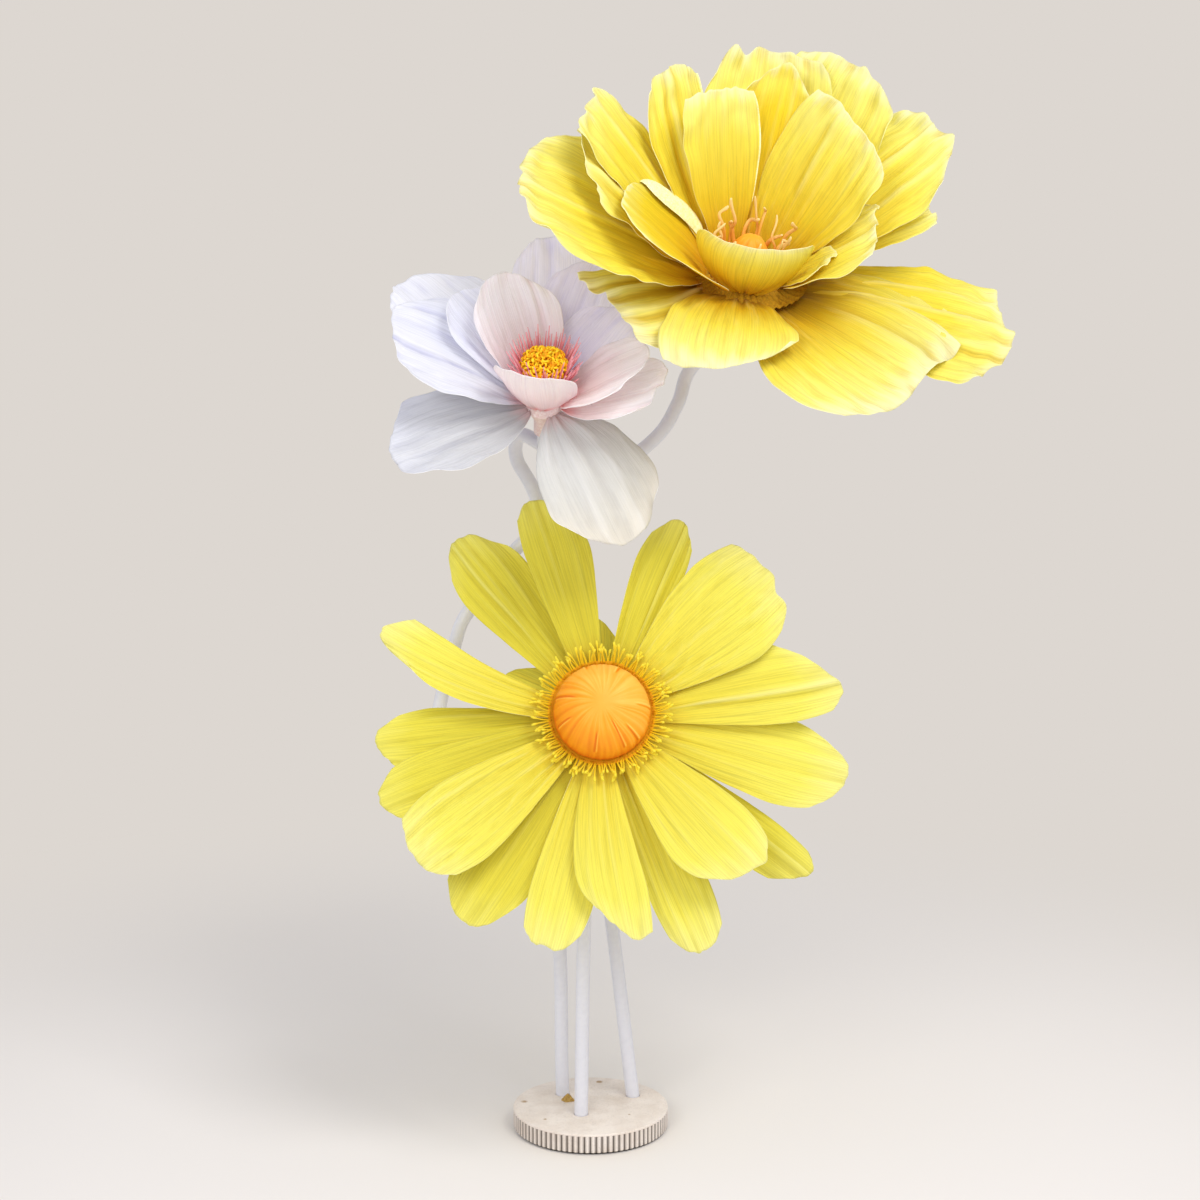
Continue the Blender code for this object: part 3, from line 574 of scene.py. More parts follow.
def ease(low, high, value):
    """Smooth step from 0 at low to 1 at high."""
    t = np.clip((value - low) / (high - low), 0, 1)
    return t * t * (3 - 2 * t)


def hollows(lift):
    """How far each point stands over its neighbours across the petal, from -1 to 1."""
    window = 2 * HOLLOW_REACH + 1
    padded = np.pad(lift, ((0, 0), (HOLLOW_REACH, HOLLOW_REACH)), "edge")
    level = sum(padded[:, shift : shift + lift.shape[1]] for shift in range(window)) / window
    return np.clip((lift - level) / HOLLOW_DEPTH, -1, 1)


def grow_petal(cut, swell, hub_radius, root, rows, columns, relief, ragged=0.008):
    """Sheet of a petal that grows along +X from its hub: points, pattern places in mm, shares, folds.

    cut is the petal's length, (right, left) half widths, row, sway to the left and tip outline from
    right to left. A row is its level on the hub and its lean at root and tip in degrees. The sheet
    follows a surface of revolution about the flower's axis, so a wide petal wraps round the flower,
    and relief then moves it along its own normal.
    """
    length, halves, (level, lean_root, lean_tip), sway, tip = cut
    even = np.linspace(-1, 1, columns)
    across, along = np.meshgrid(0.7 * even + 0.3 * np.sin(even * math.pi / 2), np.linspace(0, 1, rows) ** 0.9)
    reach = curve_through(tip, (across + 1) / 2) + ragged * wander(across * 5, 0 * across, 90 * length)
    share = along * (1 - (1 - reach) * along**2)
    rise = 1 - (1 - np.minimum(along, WIDEST_AT) / WIDEST_AT) ** swell
    fall = 1 - SHOULDER * (np.maximum(along - WIDEST_AT, 0) / (1 - WIDEST_AT)) ** 2
    half = np.where(across < 0, *halves)
    wide = (root + (half - root) * rise) * fall * (1 + 1.5 * ragged * wander(along * 5, across, 70 * length))
    furthest = 1.1 * max(tip)
    out, up, lean = bend_line(length * furthest, lean_root, lean_root + (lean_tip - lean_root) * furthest)
    shares = np.linspace(0, furthest, BEND_STEPS + 1)
    middle = hub_radius + GAP + np.interp(share, shares, out)
    height = level + np.interp(share, shares, up)
    bearing = (across * wide + sway * along**2) / middle
    points = np.stack([middle * np.cos(bearing), middle * np.sin(bearing), height], -1)
    lean = np.interp(share, shares, lean)
    normal = np.stack([-np.sin(lean) * np.cos(bearing), -np.sin(lean) * np.sin(bearing), np.cos(lean)], -1)
    x = across * wide**0.3 * half**0.7 * 1000
    y = share * length * 1000
    lift = relief(across, along, x, y)
    points = points + normal * lift[..., None] / 1000
    return points, np.stack([x, y], -1), np.stack([across / 2 + 0.5, along], -1), hollows(lift)


def add_petal(name, sheet, finishes, thickness, place):
    """Sheet of paper with real thickness, which knows its place on the pattern in mm."""
    points, cut_places, shares, folds = sheet
    petal = add_piece(name, points, grid_faces(*points.shape[:2]), *finishes)
    petal.data.transform(place)
    corner = np.zeros(len(petal.data.loops), np.int32)
    petal.data.loops.foreach_get("vertex_index", corner)
    for layer, places in (("cut", cut_places), ("share", shares)):
        made = petal.data.uv_layers.new(name=layer)
        made.data.foreach_set("uv", places.reshape(-1, 2)[corner].ravel())
    # The fold values drive the painted shade in the hollows and the painted highlight on the crowns
    mark_points(petal, "fold", folds)
    shell = petal.modifiers.new("paper", "SOLIDIFY")
    shell.thickness = thickness
    shell.offset = 0
    shell.material_offset_rim = len(finishes) - 1
    return petal


def soft_folds(seed, depth, crumple, fan, gather, cup, ruffle, tip_curl, sides=(0, 0), pleats=()):
    """Relief of a paper petal in mm, from what the maker's hands do to it.

    Lengthwise folds, a crumple, a fan of creases (count, height), pleats gathered at the root,
    cupped sides, a ruffled rim, a tip and (left, right) sides curled to the front, or to the back
    where negative, and laid pleats (where, height, width, start) that rise softly and drop at once.
    """

    def relief(across, along, x, y):
        lift = depth * wander(across * 2.3 + seed, along * 0.8, seed) * (0.35 + 0.65 * along)
        lift += 0.45 * depth * wander(across * 5.1 - seed, along * 1.7, seed + 9.1)
        lift += crumple * (0.35 - np.abs(wander(x / 17, y / 46, seed + 3.3)))
        lift += 0.5 * crumple * (0.3 - np.abs(wander(x / 8, y / 19, seed + 5.7)))
        rib = across * fan[0] / 2 + 0.5 * wander(across * 2.6, along * 1.1, seed + 2.2)
        lift += fan[1] * (np.abs(rib % 1 - 0.5) * 4 - 1) * ease(0.05, 0.35, along)
        lift += gather * np.cos(across * math.pi * 3.5 + seed) * (1 - along) ** 2.2
        lift += cup * across**2 * np.sin(math.pi * np.minimum(along + 0.15, 1) * 0.62)
        rim = np.maximum(np.abs(across) ** 3, ease(0.72, 1, along))
        lift += ruffle * rim * along * wander(x / 30 + seed, y / 34, seed + 7.9) * 1.6
        lift += tip_curl * ease(0.78, 1.05, along) ** 1.5
        for side, curl in zip((1, -1), sides):
            lift += curl * ease(0.55, 1.05, side * across) ** 1.4 * along
        for where, height, width, start in pleats:
            far = (across - where - 0.05 * wander(0 * across, along * 3, seed + where)) / width
            laid = ease(-1, 0, far) * (1 - ease(0, 0.07 / abs(width), far))
            lift += height * laid * ease(start, start + 0.25, along)
        return lift

    return relief


def crepe_paper(name, dye, rim, hollow, glow, streak=0.15):
    """Crepe: matt, with a fine grain and crisp creases along the petal. Light shines through it.

    dye is the colour at places from the root (0) to the tip (1). hollow is the colour of painted
    shade, multiplied in where the sheet lies below its neighbours. rim is the colour of the pale cut
    edge, and also of the painted highlight on the crowns of the folds. The grain of real crepe is
    about 1 mm wide, too fine to show here, so it is drawn 4 mm wide.
    """
    finish = new_finish(name)
    cut = add_node(finish, "UVMap", {"uv_map": "cut"}).outputs[0]
    places = add_node(finish, "UVMap", {"uv_map": "share"}).outputs[0]
    share = add_node(finish, "SeparateXYZ", links={0: places})
    fold = add_node(finish, "Attribute", {"attribute_name": "fold"}).outputs["Fac"]
    crisp = []
    soft_noise = {"Scale": 1, "Detail": 2, "Roughness": 0.5}
    for wide, long in (GRAIN_MM, CREASE_MM):
        drawn = add_node(finish, "Mapping", {"Scale": (1 / wide, 1 / long, 1)}, {"Vector": cut})
        cloud = add_node(finish, "TexNoise", soft_noise, {"Vector": drawn.outputs[0]})
        crisp.append(reckon(finish, "ABSOLUTE", reckon(finish, "SUBTRACT", cloud.outputs["Fac"], 0.5)))
    dyed = add_node(finish, "Mapping", {"Scale": (1 / DYE_MM[0], 1 / DYE_MM[1], 1)}, {"Vector": cut})
    streaks = add_node(finish, "TexNoise", {"Scale": 1, "Detail": 3}, {"Vector": dyed.outputs[0]})
    level = reckon(finish, "MULTIPLY_ADD", streaks.outputs["Fac"], 0.22, share.outputs[1])
    ground = add_node(finish, "ValToRGB", {"stops": dye}, {0: reckon(finish, "SUBTRACT", level, 0.11)})
    grain = remap(finish, crisp[0], (0.0, 0.07), (1 - streak, 1.02))
    crease = remap(finish, crisp[1], (0.0, 0.015), (1 - 0.8 * streak, 1.0))
    paper = add_node(
        finish,
        "Mix",
        {"data_type": "RGBA", "blend_type": "MULTIPLY", 0: 1.0},
        {6: ground.outputs[0], 7: reckon(finish, "MULTIPLY", grain, crease)},
    )
    # Painted shade: where the sheet lies below its neighbours it is darkened towards the hollow colour
    low = remap(finish, fold, (-0.05, -1.0), (0.0, 0.9))
    paper = add_node(
        finish,
        "Mix",
        {"data_type": "RGBA", "blend_type": "MULTIPLY", 7: linear(hollow)},
        {0: low, 6: paper.outputs[2]},
    )
    edge = reckon(finish, "ABSOLUTE", reckon(finish, "SUBTRACT", share.outputs[0], 0.5))
    side_rim = remap(finish, edge, (0.490, 0.500), (0.0, 0.2))
    end_rim = remap(finish, share.outputs[1], (0.985, 1.0), (0.0, 0.3))
    # Painted highlight: the crowns of the folds are paled towards the rim colour
    crown = remap(finish, fold, (0.1, 1.0), (0.0, 0.35))
    pale = reckon(finish, "MAXIMUM", reckon(finish, "MAXIMUM", side_rim, end_rim), crown)
    rimmed = {"data_type": "RGBA", 7: linear(rim)}
    paper = add_node(finish, "Mix", rimmed, {0: pale, 6: paper.outputs[2]})
    creped = add_node(finish, "Bump", {"Strength": 0.7, "Distance": 0.0025}, {"Height": crisp[0]})
    creased = add_node(
        finish,
        "Bump",
        {"Strength": 0.8, "Distance": 0.005},
        {"Height": crisp[1], "Normal": creped.outputs[0]},
    )
    surface = coat(finish, 0.72, 1.42, paper.outputs[2], creased.outputs[0])
    lit = {"Color": paper.outputs[2], "Normal": creased.outputs[0]}
    through = add_node(finish, "BsdfTranslucent", links=lit)
    both = add_node(finish, "MixShader", {0: glow}, {1: surface.outputs[0], 2: through.outputs[0]})
    return close_finish(finish, both)


def cut_edge(name, code):
    """Cut edge of the paper: its pale matt fibres, seen edge on, draw a light line."""
    finish = new_finish(name)
    fibres = {"Base Color": linear(code), "Roughness": 0.8, "IOR": 1.42}
    return close_finish(finish, add_node(finish, "BsdfPrincipled", fibres))


def card_cover(name, code, pale):
    """Paper strip pasted over card: matt, with the strip's fine ribs across it."""
    finish = new_finish(name)
    place = add_node(finish, "TexCoord").outputs["Object"]
    ribs = add_node(finish, "TexNoise", {"Scale": RIBS_PER_METRE, "Detail": 4}, {"Vector": place})
    tint = add_node(finish, "ValToRGB", {"stops": ((0.35, code), (0.7, pale))}, {0: ribs.outputs["Fac"]})
    bump = add_node(finish, "Bump", {"Strength": 0.4, "Distance": 0.0005}, {"Height": ribs.outputs["Fac"]})
    return close_finish(finish, coat(finish, 0.8, 1.42, tint.outputs[0], bump.outputs[0]))


def turned_drum(hub):
    """Points and quads of a hub: drum with rounded edges, cone and boss."""
    top, low, back = hub["above"], -hub["below"], -hub["back"]
    profile = [(0.0002, top), (hub["radius"] - HUB_ROUND, top), (hub["radius"], top - HUB_ROUND)]
    profile += [(hub["radius"], low + HUB_ROUND), (hub["radius"] - HUB_ROUND, low)]
    profile += [(BOSS_RADIUS, back + HUB_SOCKET), (BOSS_RADIUS, back + HUB_ROUND)]
    bore = STEM_RADIUS + BOSS_CLEARANCE
    profile += [(BOSS_RADIUS - HUB_ROUND, back), (bore, back), (bore, back + BOSS_DEPTH)]
    angle = 2 * math.pi * np.arange(HUB_STEPS) / HUB_STEPS
    points = [np.stack([r * np.cos(angle), r * np.sin(angle), 0 * angle + z], -1) for r, z in profile]
    faces = grid_faces(len(profile), HUB_STEPS, closed=True)
    return np.concatenate(points), [face[::-1] for face in faces]


for flower, hub, place, codes, card in (
    ("daisy", DAISY_HUB, DAISY_PLACE, OLIVE_STRIP, "olive_card"),
    ("white", WHITE_HUB, WHITE_PLACE, BLUSH_STRIP, "white_card"),
    ("gold", GOLD_HUB, GOLD_PLACE, HUB_SHADE_AMBER, "gold_card"),
):
    points, faces = turned_drum(hub)
    drum = add_piece(flower + "_drum", points, faces, card_cover(flower + "_strip_on_card", *codes))
    drum.data.set_sharp_from_angle(angle=math.radians(40))
    drum.data.transform(head_frame(place))
    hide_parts(flower + "_hub")
olive_dye = ((0.1, OLIVE_STRIP[0]), (0.7, OLIVE_STRIP[1]))
olive_crepe = crepe_paper("olive_crepe_paper", olive_dye, "#F0EA80", "#F0DC98", 0.3)
olive_edge = cut_edge("olive_crepe_edge", "#E4E07C")
for number in range(SEPALS):
    relief = soft_folds(3.1 * number + 40, 3, 0.8, (5, 0.4), 1.2, 2, 1.5, -2)
    sheet = grow_petal(SEPAL_CUT, SEPAL_SWELL, SEPAL_START, SEPAL_ROOT, *SEPAL_FINE, relief)
    turn = Matrix.Rotation(math.radians(SEPAL_FIRST + 360 * number / SEPALS), 4, "Z")
    place = head_frame(DAISY_PLACE) @ turn
    sepal = add_petal(f"daisy_sepal_{number}", sheet, (olive_crepe, olive_edge), SEPAL_THICK, place)


# Daisy petals
# Sixteen straps of lemon crepe, cut with the grain along them, stretched a little across the
# middle and pleated at the root, where hot glue holds them to the drum in four rows.
FRONT_ROW = (0.000, 14, 7)
MIDDLE_ROW = (-0.003, 8, 2)
BACK_ROW = (-0.006, 2, -2)
LAST_ROW = (-0.009, -4, -6)
DAISY_ROOT = 0.013
DAISY_SWELL = 1.4
FAN_LOBES = (0.88, 0.96, 0.95, 1, 0.99, 0.99, 0.97)
# Name, bearing in degrees, and the cut as grow_petal takes it
DAISY_PETALS = (
    ("a", 108, 0.306, (0.064, 0.038), FRONT_ROW, 0, (0.84, 0.96, 1, 0.99, 0.93)),
    ("b", 128, 0.319, (0.062, 0.058), BACK_ROW, 0, (0.84, 0.96, 1, 0.98, 0.86)),
    ("c", 172, 0.314, (0.041, 0.041), FRONT_ROW, -0.065, (0.88, 0.99, 1, 0.95, 0.84)),
    ("d", 187, 0.301, (0.046, 0.046), BACK_ROW, 0, (0.88, 0.98, 1, 0.97, 0.92)),
    ("e", 203, 0.316, (0.050, 0.052), MIDDLE_ROW, 0, (0.90, 0.98, 1, 0.97, 0.90)),
    ("f", 221, 0.319, (0.074, 0.062), FRONT_ROW, 0, (0.95, 0.99, 1, 0.99, 0.92)),
    ("g", 237.5, 0.329, (0.070, 0.058), BACK_ROW, 0, (0.90, 0.98, 1, 0.97, 0.84)),
    ("h", 256.5, 0.323, (0.041, 0.057), MIDDLE_ROW, 0, (0.94, 0.99, 0.99, 1, 0.92)),
    ("i", 267, 0.318, (0.052, 0.056), FRONT_ROW, 0.045, (0.80, 0.87, 0.93, 0.99, 0.97)),
    ("j", 292.5, 0.342, (0.042, 0.052), BACK_ROW, 0, (0.90, 0.98, 1, 0.99, 0.93)),
    ("k", 311.5, 0.296, (0.076, 0.061), FRONT_ROW, 0, (0.86, 0.95, 0.99, 1, 0.92)),
    ("l", 322.5, 0.348, (0.046, 0.036), LAST_ROW, 0, (0.88, 0.95, 1, 1, 0.94)),
    ("m", 345, 0.337, (0.065, 0.072), BACK_ROW, 0, (0.88, 0.97, 1, 0.98, 0.84)),
    ("n", 9.5, 0.324, (0.064, 0.070), MIDDLE_ROW, 0, (0.95, 1, 0.95, 0.88, 0.74)),
    ("o", 38.5, 0.296, (0.087, 0.093), FRONT_ROW, 0, FAN_LOBES),
    ("p", 67, 0.285, (0.032, 0.049), MIDDLE_ROW, 0, (0.88, 0.95, 1, 0.99, 0.90)),
)
# Folds that differ from the usual ones, and the straps that take a darker copy of the lemon crepe as painted
# shade
DAISY_FOLDS = {
    "b": {"pleats": ((0.28, 6, 0.5, 0.25), (-0.45, 4, -0.3, 0.4))},
    "c": {"sides": (5, -4)},
    "f": {"crumple": 3.4, "fan": (6, 0.1)},
    "h": {"sides": (0, 6)},
    "i": {"sides": (7, 0)},
    "j": {"fan": (9, 0.5), "sides": (0, -6)},
    "k": {"fan": (11, 0.4), "depth": 7.0},
    "l": {"pleats": ((0.1, 7, 0.6, 0.2),)},
    "m": {"fan": (12, 0.4), "sides": (-6, 3)},
    "n": {"pleats": ((-0.25, 7, -0.4, 0.15),)},
    "o": {"crumple": 3.6, "fan": (7, 0.1), "sides": (0, -5)},
    "p": {"pleats": ((-0.15, 7, 0.5, 0.2),)},
}
SHADED_STRAPS = "abdeglp"
DAISY_FINE = (64, 52)
PAPER = 0.0006
lemon_dye = ((0.02, "#F0D026"), (0.28, "#F2E34A"), (0.8, "#F5ED62"), (1.0, "#FAF48C"))
# Darker copy of the lemon dye for the straps that lie in shade: painted shade
shaded_lemon_dye = ((0.02, "#DABE26"), (0.28, "#E4D63C"), (0.8, "#EBE04A"), (1.0, "#F3EB6A"))
lemon_crepe = crepe_paper("lemon_crepe_paper", lemon_dye, "#FFFDC0", "#EBE4B0", 0.25, 0.11)
shaded_lemon_crepe = crepe_paper("shaded_lemon_crepe_paper", shaded_lemon_dye, "#FFFBA8", "#E6DEA8", 0.25, 0.11)
lemon_edge = cut_edge("lemon_crepe_edge", "#FFFBB4")
for number, (name, bearing, *cut) in enumerate(DAISY_PETALS):
    usual = {"depth": 6.0, "crumple": 1.0, "fan": (8, 0.2), "gather": 1.5, "cup": -2.0, "ruffle": 3.0}
    folds = {**usual, "tip_curl": 3.0 * math.sin(2.7 * number), **DAISY_FOLDS.get(name, {})}
    relief = soft_folds(11.3 + 4.7 * number, **folds)
    sheet = grow_petal(cut, DAISY_SWELL, DAISY_HUB["radius"], DAISY_ROOT, *DAISY_FINE, relief)
    turn = Matrix.Rotation(math.radians(bearing), 4, "Z")
    finishes = (shaded_lemon_crepe if name in SHADED_STRAPS else lemon_crepe, lemon_edge)
    petal = add_petal(f"daisy_crepe_{name}", sheet, finishes, PAPER, head_frame(DAISY_PLACE) @ turn)
    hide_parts("daisy_petal_" + name)


# Daisy dome
# Orange crepe drawn over a foam half ball and gathered: creases run from the pole down to the
# rim, where the paper is tucked under and glued. Stretched smooth, it has a faint sheen. Its
# colour carries painted light and shade: paler crowns and darker furrows along the creases, a
# painted highlight round the pole, one side painted lighter, and painted shade at the rim.
DOME_RADIUS = 0.0735
DOME_HEIGHT = 0.062
SEAT = 0.0003
FIBRES_PER_METRE = 420
PATCHES_PER_METRE = 24
# Deep, body and pale orange: the deep and pale ends mostly show painted shade and painted highlight
ORANGE_DEEP = "#E67A04"
ORANGE_BODY = "#FA9E16"
ORANGE_PALE = "#FFC65A"
orange_crepe = new_finish("orange_crepe_paper")
place = add_node(orange_crepe, "TexCoord").outputs["Object"]
# The pleat attribute holds the painted light and shade of the creases, pole, side and rim
pleat = add_node(orange_crepe, "Attribute", {"attribute_name": "pleat"})
fine = add_node(orange_crepe, "TexNoise", {"Scale": FIBRES_PER_METRE, "Detail": 4}, {"Vector": place})
broad = add_node(orange_crepe, "TexNoise", {"Scale": PATCHES_PER_METRE, "Detail": 3}, {"Vector": place})
mixed = reckon(orange_crepe, "MULTIPLY_ADD", broad.outputs["Fac"], 0.30, pleat.outputs["Fac"])
tint = add_node(
    orange_crepe,
    "ValToRGB",
    {"stops": ((0.10, ORANGE_DEEP), (0.50, ORANGE_BODY), (1.0, ORANGE_PALE))},
    {0: mixed},
)
bump = add_node(orange_crepe, "Bump", {"Strength": 0.4, "Distance": 0.0006}, {"Height": fine.outputs["Fac"]})
close_finish(orange_crepe, coat(orange_crepe, 0.55, 1.42, tint.outputs[0], bump.outputs[0]))


def gathered_cap(radius, height, rows, columns, depth, pleats, seed):
    """Points, quads and tint of a half ball of gathered paper, pole up; the tint is painted light and shade.
    """
    polar, angle = np.meshgrid(
        np.linspace(0.02, math.pi / 2 + 0.12, rows), 2 * math.pi * np.arange(columns) / columns, indexing="ij"
    )
    swirl = angle + 0.10 * np.sin(2 * polar + seed)
    x, y = np.cos(swirl), np.sin(swirl)
    fold = 0.5 - np.abs(wander(x * pleats + seed, y * pleats + polar * 0.5, seed))
    fold = fold * 0.7 + 0.3 * (0.5 - np.abs(wander(x * pleats * 2.3, y * pleats * 2.3 + polar, seed + 4)))
    reach = ease(0.06, 0.55, polar) * (1 - 0.35 * ease(1.15, 1.55, polar))
    swell = 1 + depth / radius * fold * reach
    flat = radius * np.minimum(np.sin(polar), 1) * swell
    flat = np.where(polar > math.pi / 2, radius * (1 - (polar - math.pi / 2) * 0.9), flat)
    above = np.maximum(height * np.cos(polar) * swell, 0.0)
    points = np.stack([flat * np.cos(angle), flat * np.sin(angle), above], -1)
    faces = [face[::-1] for face in grid_faces(rows, columns, closed=True)]
    faces.append(list(range(columns)))
    # Painted light and shade: crease crowns paler, furrows darker, a highlight round the pole, darker at the
    # rim
    tint = 0.24 + 0.65 * fold * reach + 0.22 * np.exp(-((polar / 0.5) ** 2)) - 0.22 * ease(1.25, 1.55, polar)
    # Painted light: one side of the ball lighter than the other
    tint += 0.26 * np.sin(polar) * np.cos(angle - 0.9)
    return points, faces, tint.ravel()


points, faces, tint = gathered_cap(DOME_RADIUS, DOME_HEIGHT, 60, 320, 0.0030, 7.0, 2.4)
# Sharp pleats where the crepe was pinched: bearing and where each starts and ends, in degrees
PINCHES = (
    (-58, 20, 72),
    (-38, 35, 80),
    (4, 40, 84),
    (70, 45, 76),
    (113, 55, 88),
    (168, 30, 80),
    (205, 38, 78),
    (-97, 32, 70),
)
around = np.degrees(np.arctan2(points[..., 1], points[..., 0]))
outward = np.hypot(points[..., 0], points[..., 1]) / DOME_RADIUS
fall = np.degrees(np.arctan2(outward, points[..., 2] / DOME_HEIGHT))
for bearing, start, end in PINCHES:
    off = (around - bearing + 180) % 360 - 180
    pinch = ease(start, start + 12, fall) * (1 - ease(end - 6, end, fall))
    ridge = np.exp(-((off / 1.1) ** 2)) * pinch
    furrow = np.exp(-(((off + 2.6) / 1.3) ** 2)) * pinch
    points *= (1 + 0.016 * ridge - 0.012 * furrow)[..., None]
    # Painted highlight on each pinch's ridge, painted shade in its furrow
    tint += (0.55 * ridge - 0.65 * furrow).ravel()
dome = add_piece("daisy_gathered_dome", points, faces, orange_crepe)
mark_points(dome, "pleat", tint)
dome.data.transform(head_frame(DAISY_PLACE) @ Matrix.Translation((0, 0, DAISY_HUB["above"] + SEAT)))
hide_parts("daisy_dome")


# Daisy fringe
# A strip of yellow paper wrapped round the drum under the dome, cut into thin strands whose
# ends are rolled into little knobs. Near the dome the strands are painted orange: a painted glow
# from the dome's orange.
FRINGE_INNER = 0.056
FRINGE_BAND = 0.082
FRINGE_REACH = 0.113
FRINGE_START = 0.047
FRINGE_LEVEL = 0.006
FRINGE_LEAN = 22
BAND_SIDES = 180
STRANDS = 180
STRAND_RADIUS = 0.00125
STRAND_TUCK = 0.004
STRAND_STEPS = 7
# Yellow dye along each strand, with orange near the dome as painted glow
FRINGE_GLOW_AND_DYE = ((0.0, "#F49A14"), (0.35, "#FDC41C"), (0.55, "#FFE41C"), (1.0, "#FFF450"))


def strand_paper(name, dye, roughness, glow):
    """Thin dyed paper cut in strands: matt, tinted along each strand. With glow, light shines through."""
    finish = new_finish(name)
    reach = add_node(finish, "Attribute", {"attribute_name": "reach"})
    tint = add_node(finish, "ValToRGB", {"stops": dye}, {0: reach.outputs["Fac"]})
    dull = {"Roughness": roughness, "IOR": 1.42}
    surface = add_node(finish, "BsdfPrincipled", dull, {"Base Color": tint.outputs[0]})
    if glow:
        through = add_node(finish, "BsdfTranslucent", links={"Color": tint.outputs[0]})
        surface = add_node(finish, "MixShader", {0: glow}, {1: surface.outputs[0], 2: through.outputs[0]})
    return close_finish(finish, surface)


def bundle(name, strands, sides, finish, band=None):
    """Joins tubes, and the band they are cut from, into one piece.

    Each strand is its line, its radii, its tint along the line, and where it is a ribbon its
    flatness and twist.
    """
    points, faces, reaches = band or ([], [], [])
    count = sum(len(part) for part in points)
    for line, radii, tint, *ribbon in strands:
        tube, quads = sweep(line, radii, sides, *ribbon)
        points.append(tube)
        faces += [[corner + count for corner in quad] for quad in quads]
        reaches.append(np.repeat(tint, sides))
        count += len(tube)
    made = add_piece(name, np.concatenate(points), faces, finish)
    mark_points(made, "reach", np.concatenate(reaches))
    return made


fringe_paper = strand_paper("yellow_fringe_paper", FRINGE_GLOW_AND_DYE, 0.7, 0.4)
slope = math.tan(math.radians(FRINGE_LEAN))
points, reaches = [], []
radii = np.linspace(FRINGE_INNER, FRINGE_BAND, 6)
angle = 2 * math.pi * np.arange(BAND_SIDES) / BAND_SIDES
for radius in radii:
    height = FRINGE_LEVEL + (radius - FRINGE_START) * slope + 0.0006 * np.sin(23 * angle)
    points.append(np.stack([radius * np.cos(angle), radius * np.sin(angle), height], -1))
    reaches.append(0 * angle + 0.5 * (radius - FRINGE_INNER) / (FRINGE_REACH - FRINGE_INNER))
band = points, grid_faces(len(radii), BAND_SIDES, closed=True), reaches
strands = []
for number in range(STRANDS):
    bearing = 2 * math.pi * (number + 0.35 * math.sin(3.7 * number)) / STRANDS
    wild = math.sin(12.9 * number), math.sin(7.3 * number + 1), math.sin(5.1 * number + 2)
    length = FRINGE_REACH - FRINGE_BAND + 0.010 - 0.016 * abs(wild[0])
    lean = math.radians(FRINGE_LEAN + 14 * wild[1])
    line = []
    for step in range(STRAND_STEPS):
        share = step / (STRAND_STEPS - 1)
        out = FRINGE_BAND - STRAND_TUCK + length * share * math.cos(lean) * (1 - 0.12 * share)
        rise = FRINGE_LEVEL + (FRINGE_BAND - STRAND_TUCK - FRINGE_START) * slope
        rise += length * share * math.sin(lean)
        rise += 0.004 * wild[2] * share**2
        at = bearing + 0.07 * wild[2] * share**2 + 0.04 * wild[0] * share
        line.append((out * math.cos(at), out * math.sin(at), rise))
    widths = STRAND_RADIUS * np.array([1.1, 0.9, 0.8, 0.8, 0.9, 1.8, 1.2])
    strands.append((line, widths, 0.42 + 0.58 * np.linspace(0, 1, STRAND_STEPS)))
fringe = bundle("daisy_knobbed_fringe", strands, 6, fringe_paper, band)
fringe.data.transform(head_frame(DAISY_PLACE))
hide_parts("daisy_fringe")


# White petals
# Twelve broad petals of white tissue and crepe, airbrushed pink towards the root. They stand in
# a cup round the heart; the lowest ones flop open, and their greyer, darker tissue is painted
# shade. The back ones take a brighter, bluer copy of the tissue: painted cool light.
WHITE_ROOT = 0.012
WHITE_SWELL = 2.3
WHITE_FINE = (60, 56)
TISSUE_RAG = 0.014
# Pale cut-edge colour, also used for the painted highlight on the crowns of the folds
TISSUE_RIM = "#FDFDFF"
EVEN_TIP = (0.86, 0.97, 1, 0.97, 0.86)
WHITE_PETALS = (
    ("low", 302.3, 0.226, (0.090, 0.118), (-0.015, -15, -43), 0, (0.78, 0.93, 1, 0.96, 0.80)),
    ("low_left", 203.9, 0.222, (0.100, 0.085), (-0.012, 5, -12), 0, (0.84, 0.93, 1, 0.99, 0.82)),
    ("back_left", 139.1, 0.278, (0.112, 0.056), (-0.0115, 20, 12), 0, (0.82, 0.96, 1, 0.98, 0.92)),
    ("back", 89.2, 0.266, (0.085, 0.052), (-0.010, 28, 20), 0, (0.90, 1, 1, 0.96, 0.86)),
    ("low_right", 349.4, 0.170, (0.071, 0.066), (-0.0085, 20, 30), 0, (0.86, 0.95, 1, 1, 0.90)),
    ("back_right", 67.2, 0.224, (0.070, 0.070), (-0.0075, 31, 23), 0, EVEN_TIP),
    ("right_back", 39.6, 0.160, (0.066, 0.070), (-0.005, 36, 28), 0, EVEN_TIP),
    ("left", 166.6, 0.240, (0.120, 0.090), (-0.007, 32, 15), 0, (0.88, 1, 0.95, 0.88, 0.79)),
    ("mid_left", 137.9, 0.188, (0.060, 0.060), (-0.004, 42, 30), 0, EVEN_TIP),
    ("right", 351.9, 0.163, (0.089, 0.069), (-0.0025, 42, 34), 0, (0.84, 0.93, 1, 0.97, 0.86)),
    ("upper", 116, 0.180, (0.072, 0.076), (-0.001, 55, 46), 0, (0.80, 0.92, 1, 0.98, 0.87)),
    ("front", 252, 0.118, (0.074, 0.074), (-0.0005, 44, 84), 0, (0.90, 1, 1, 1, 0.90)),
)
white_dye = ((0.0, "#F9D2D6"), (0.16, "#F6F6FD"), (0.7, "#F6F7FE"))
pink_dye = ((0.0, "#FFC8CA"), (0.25, "#FFF3F4"), (0.8, "#FFFCFF"))
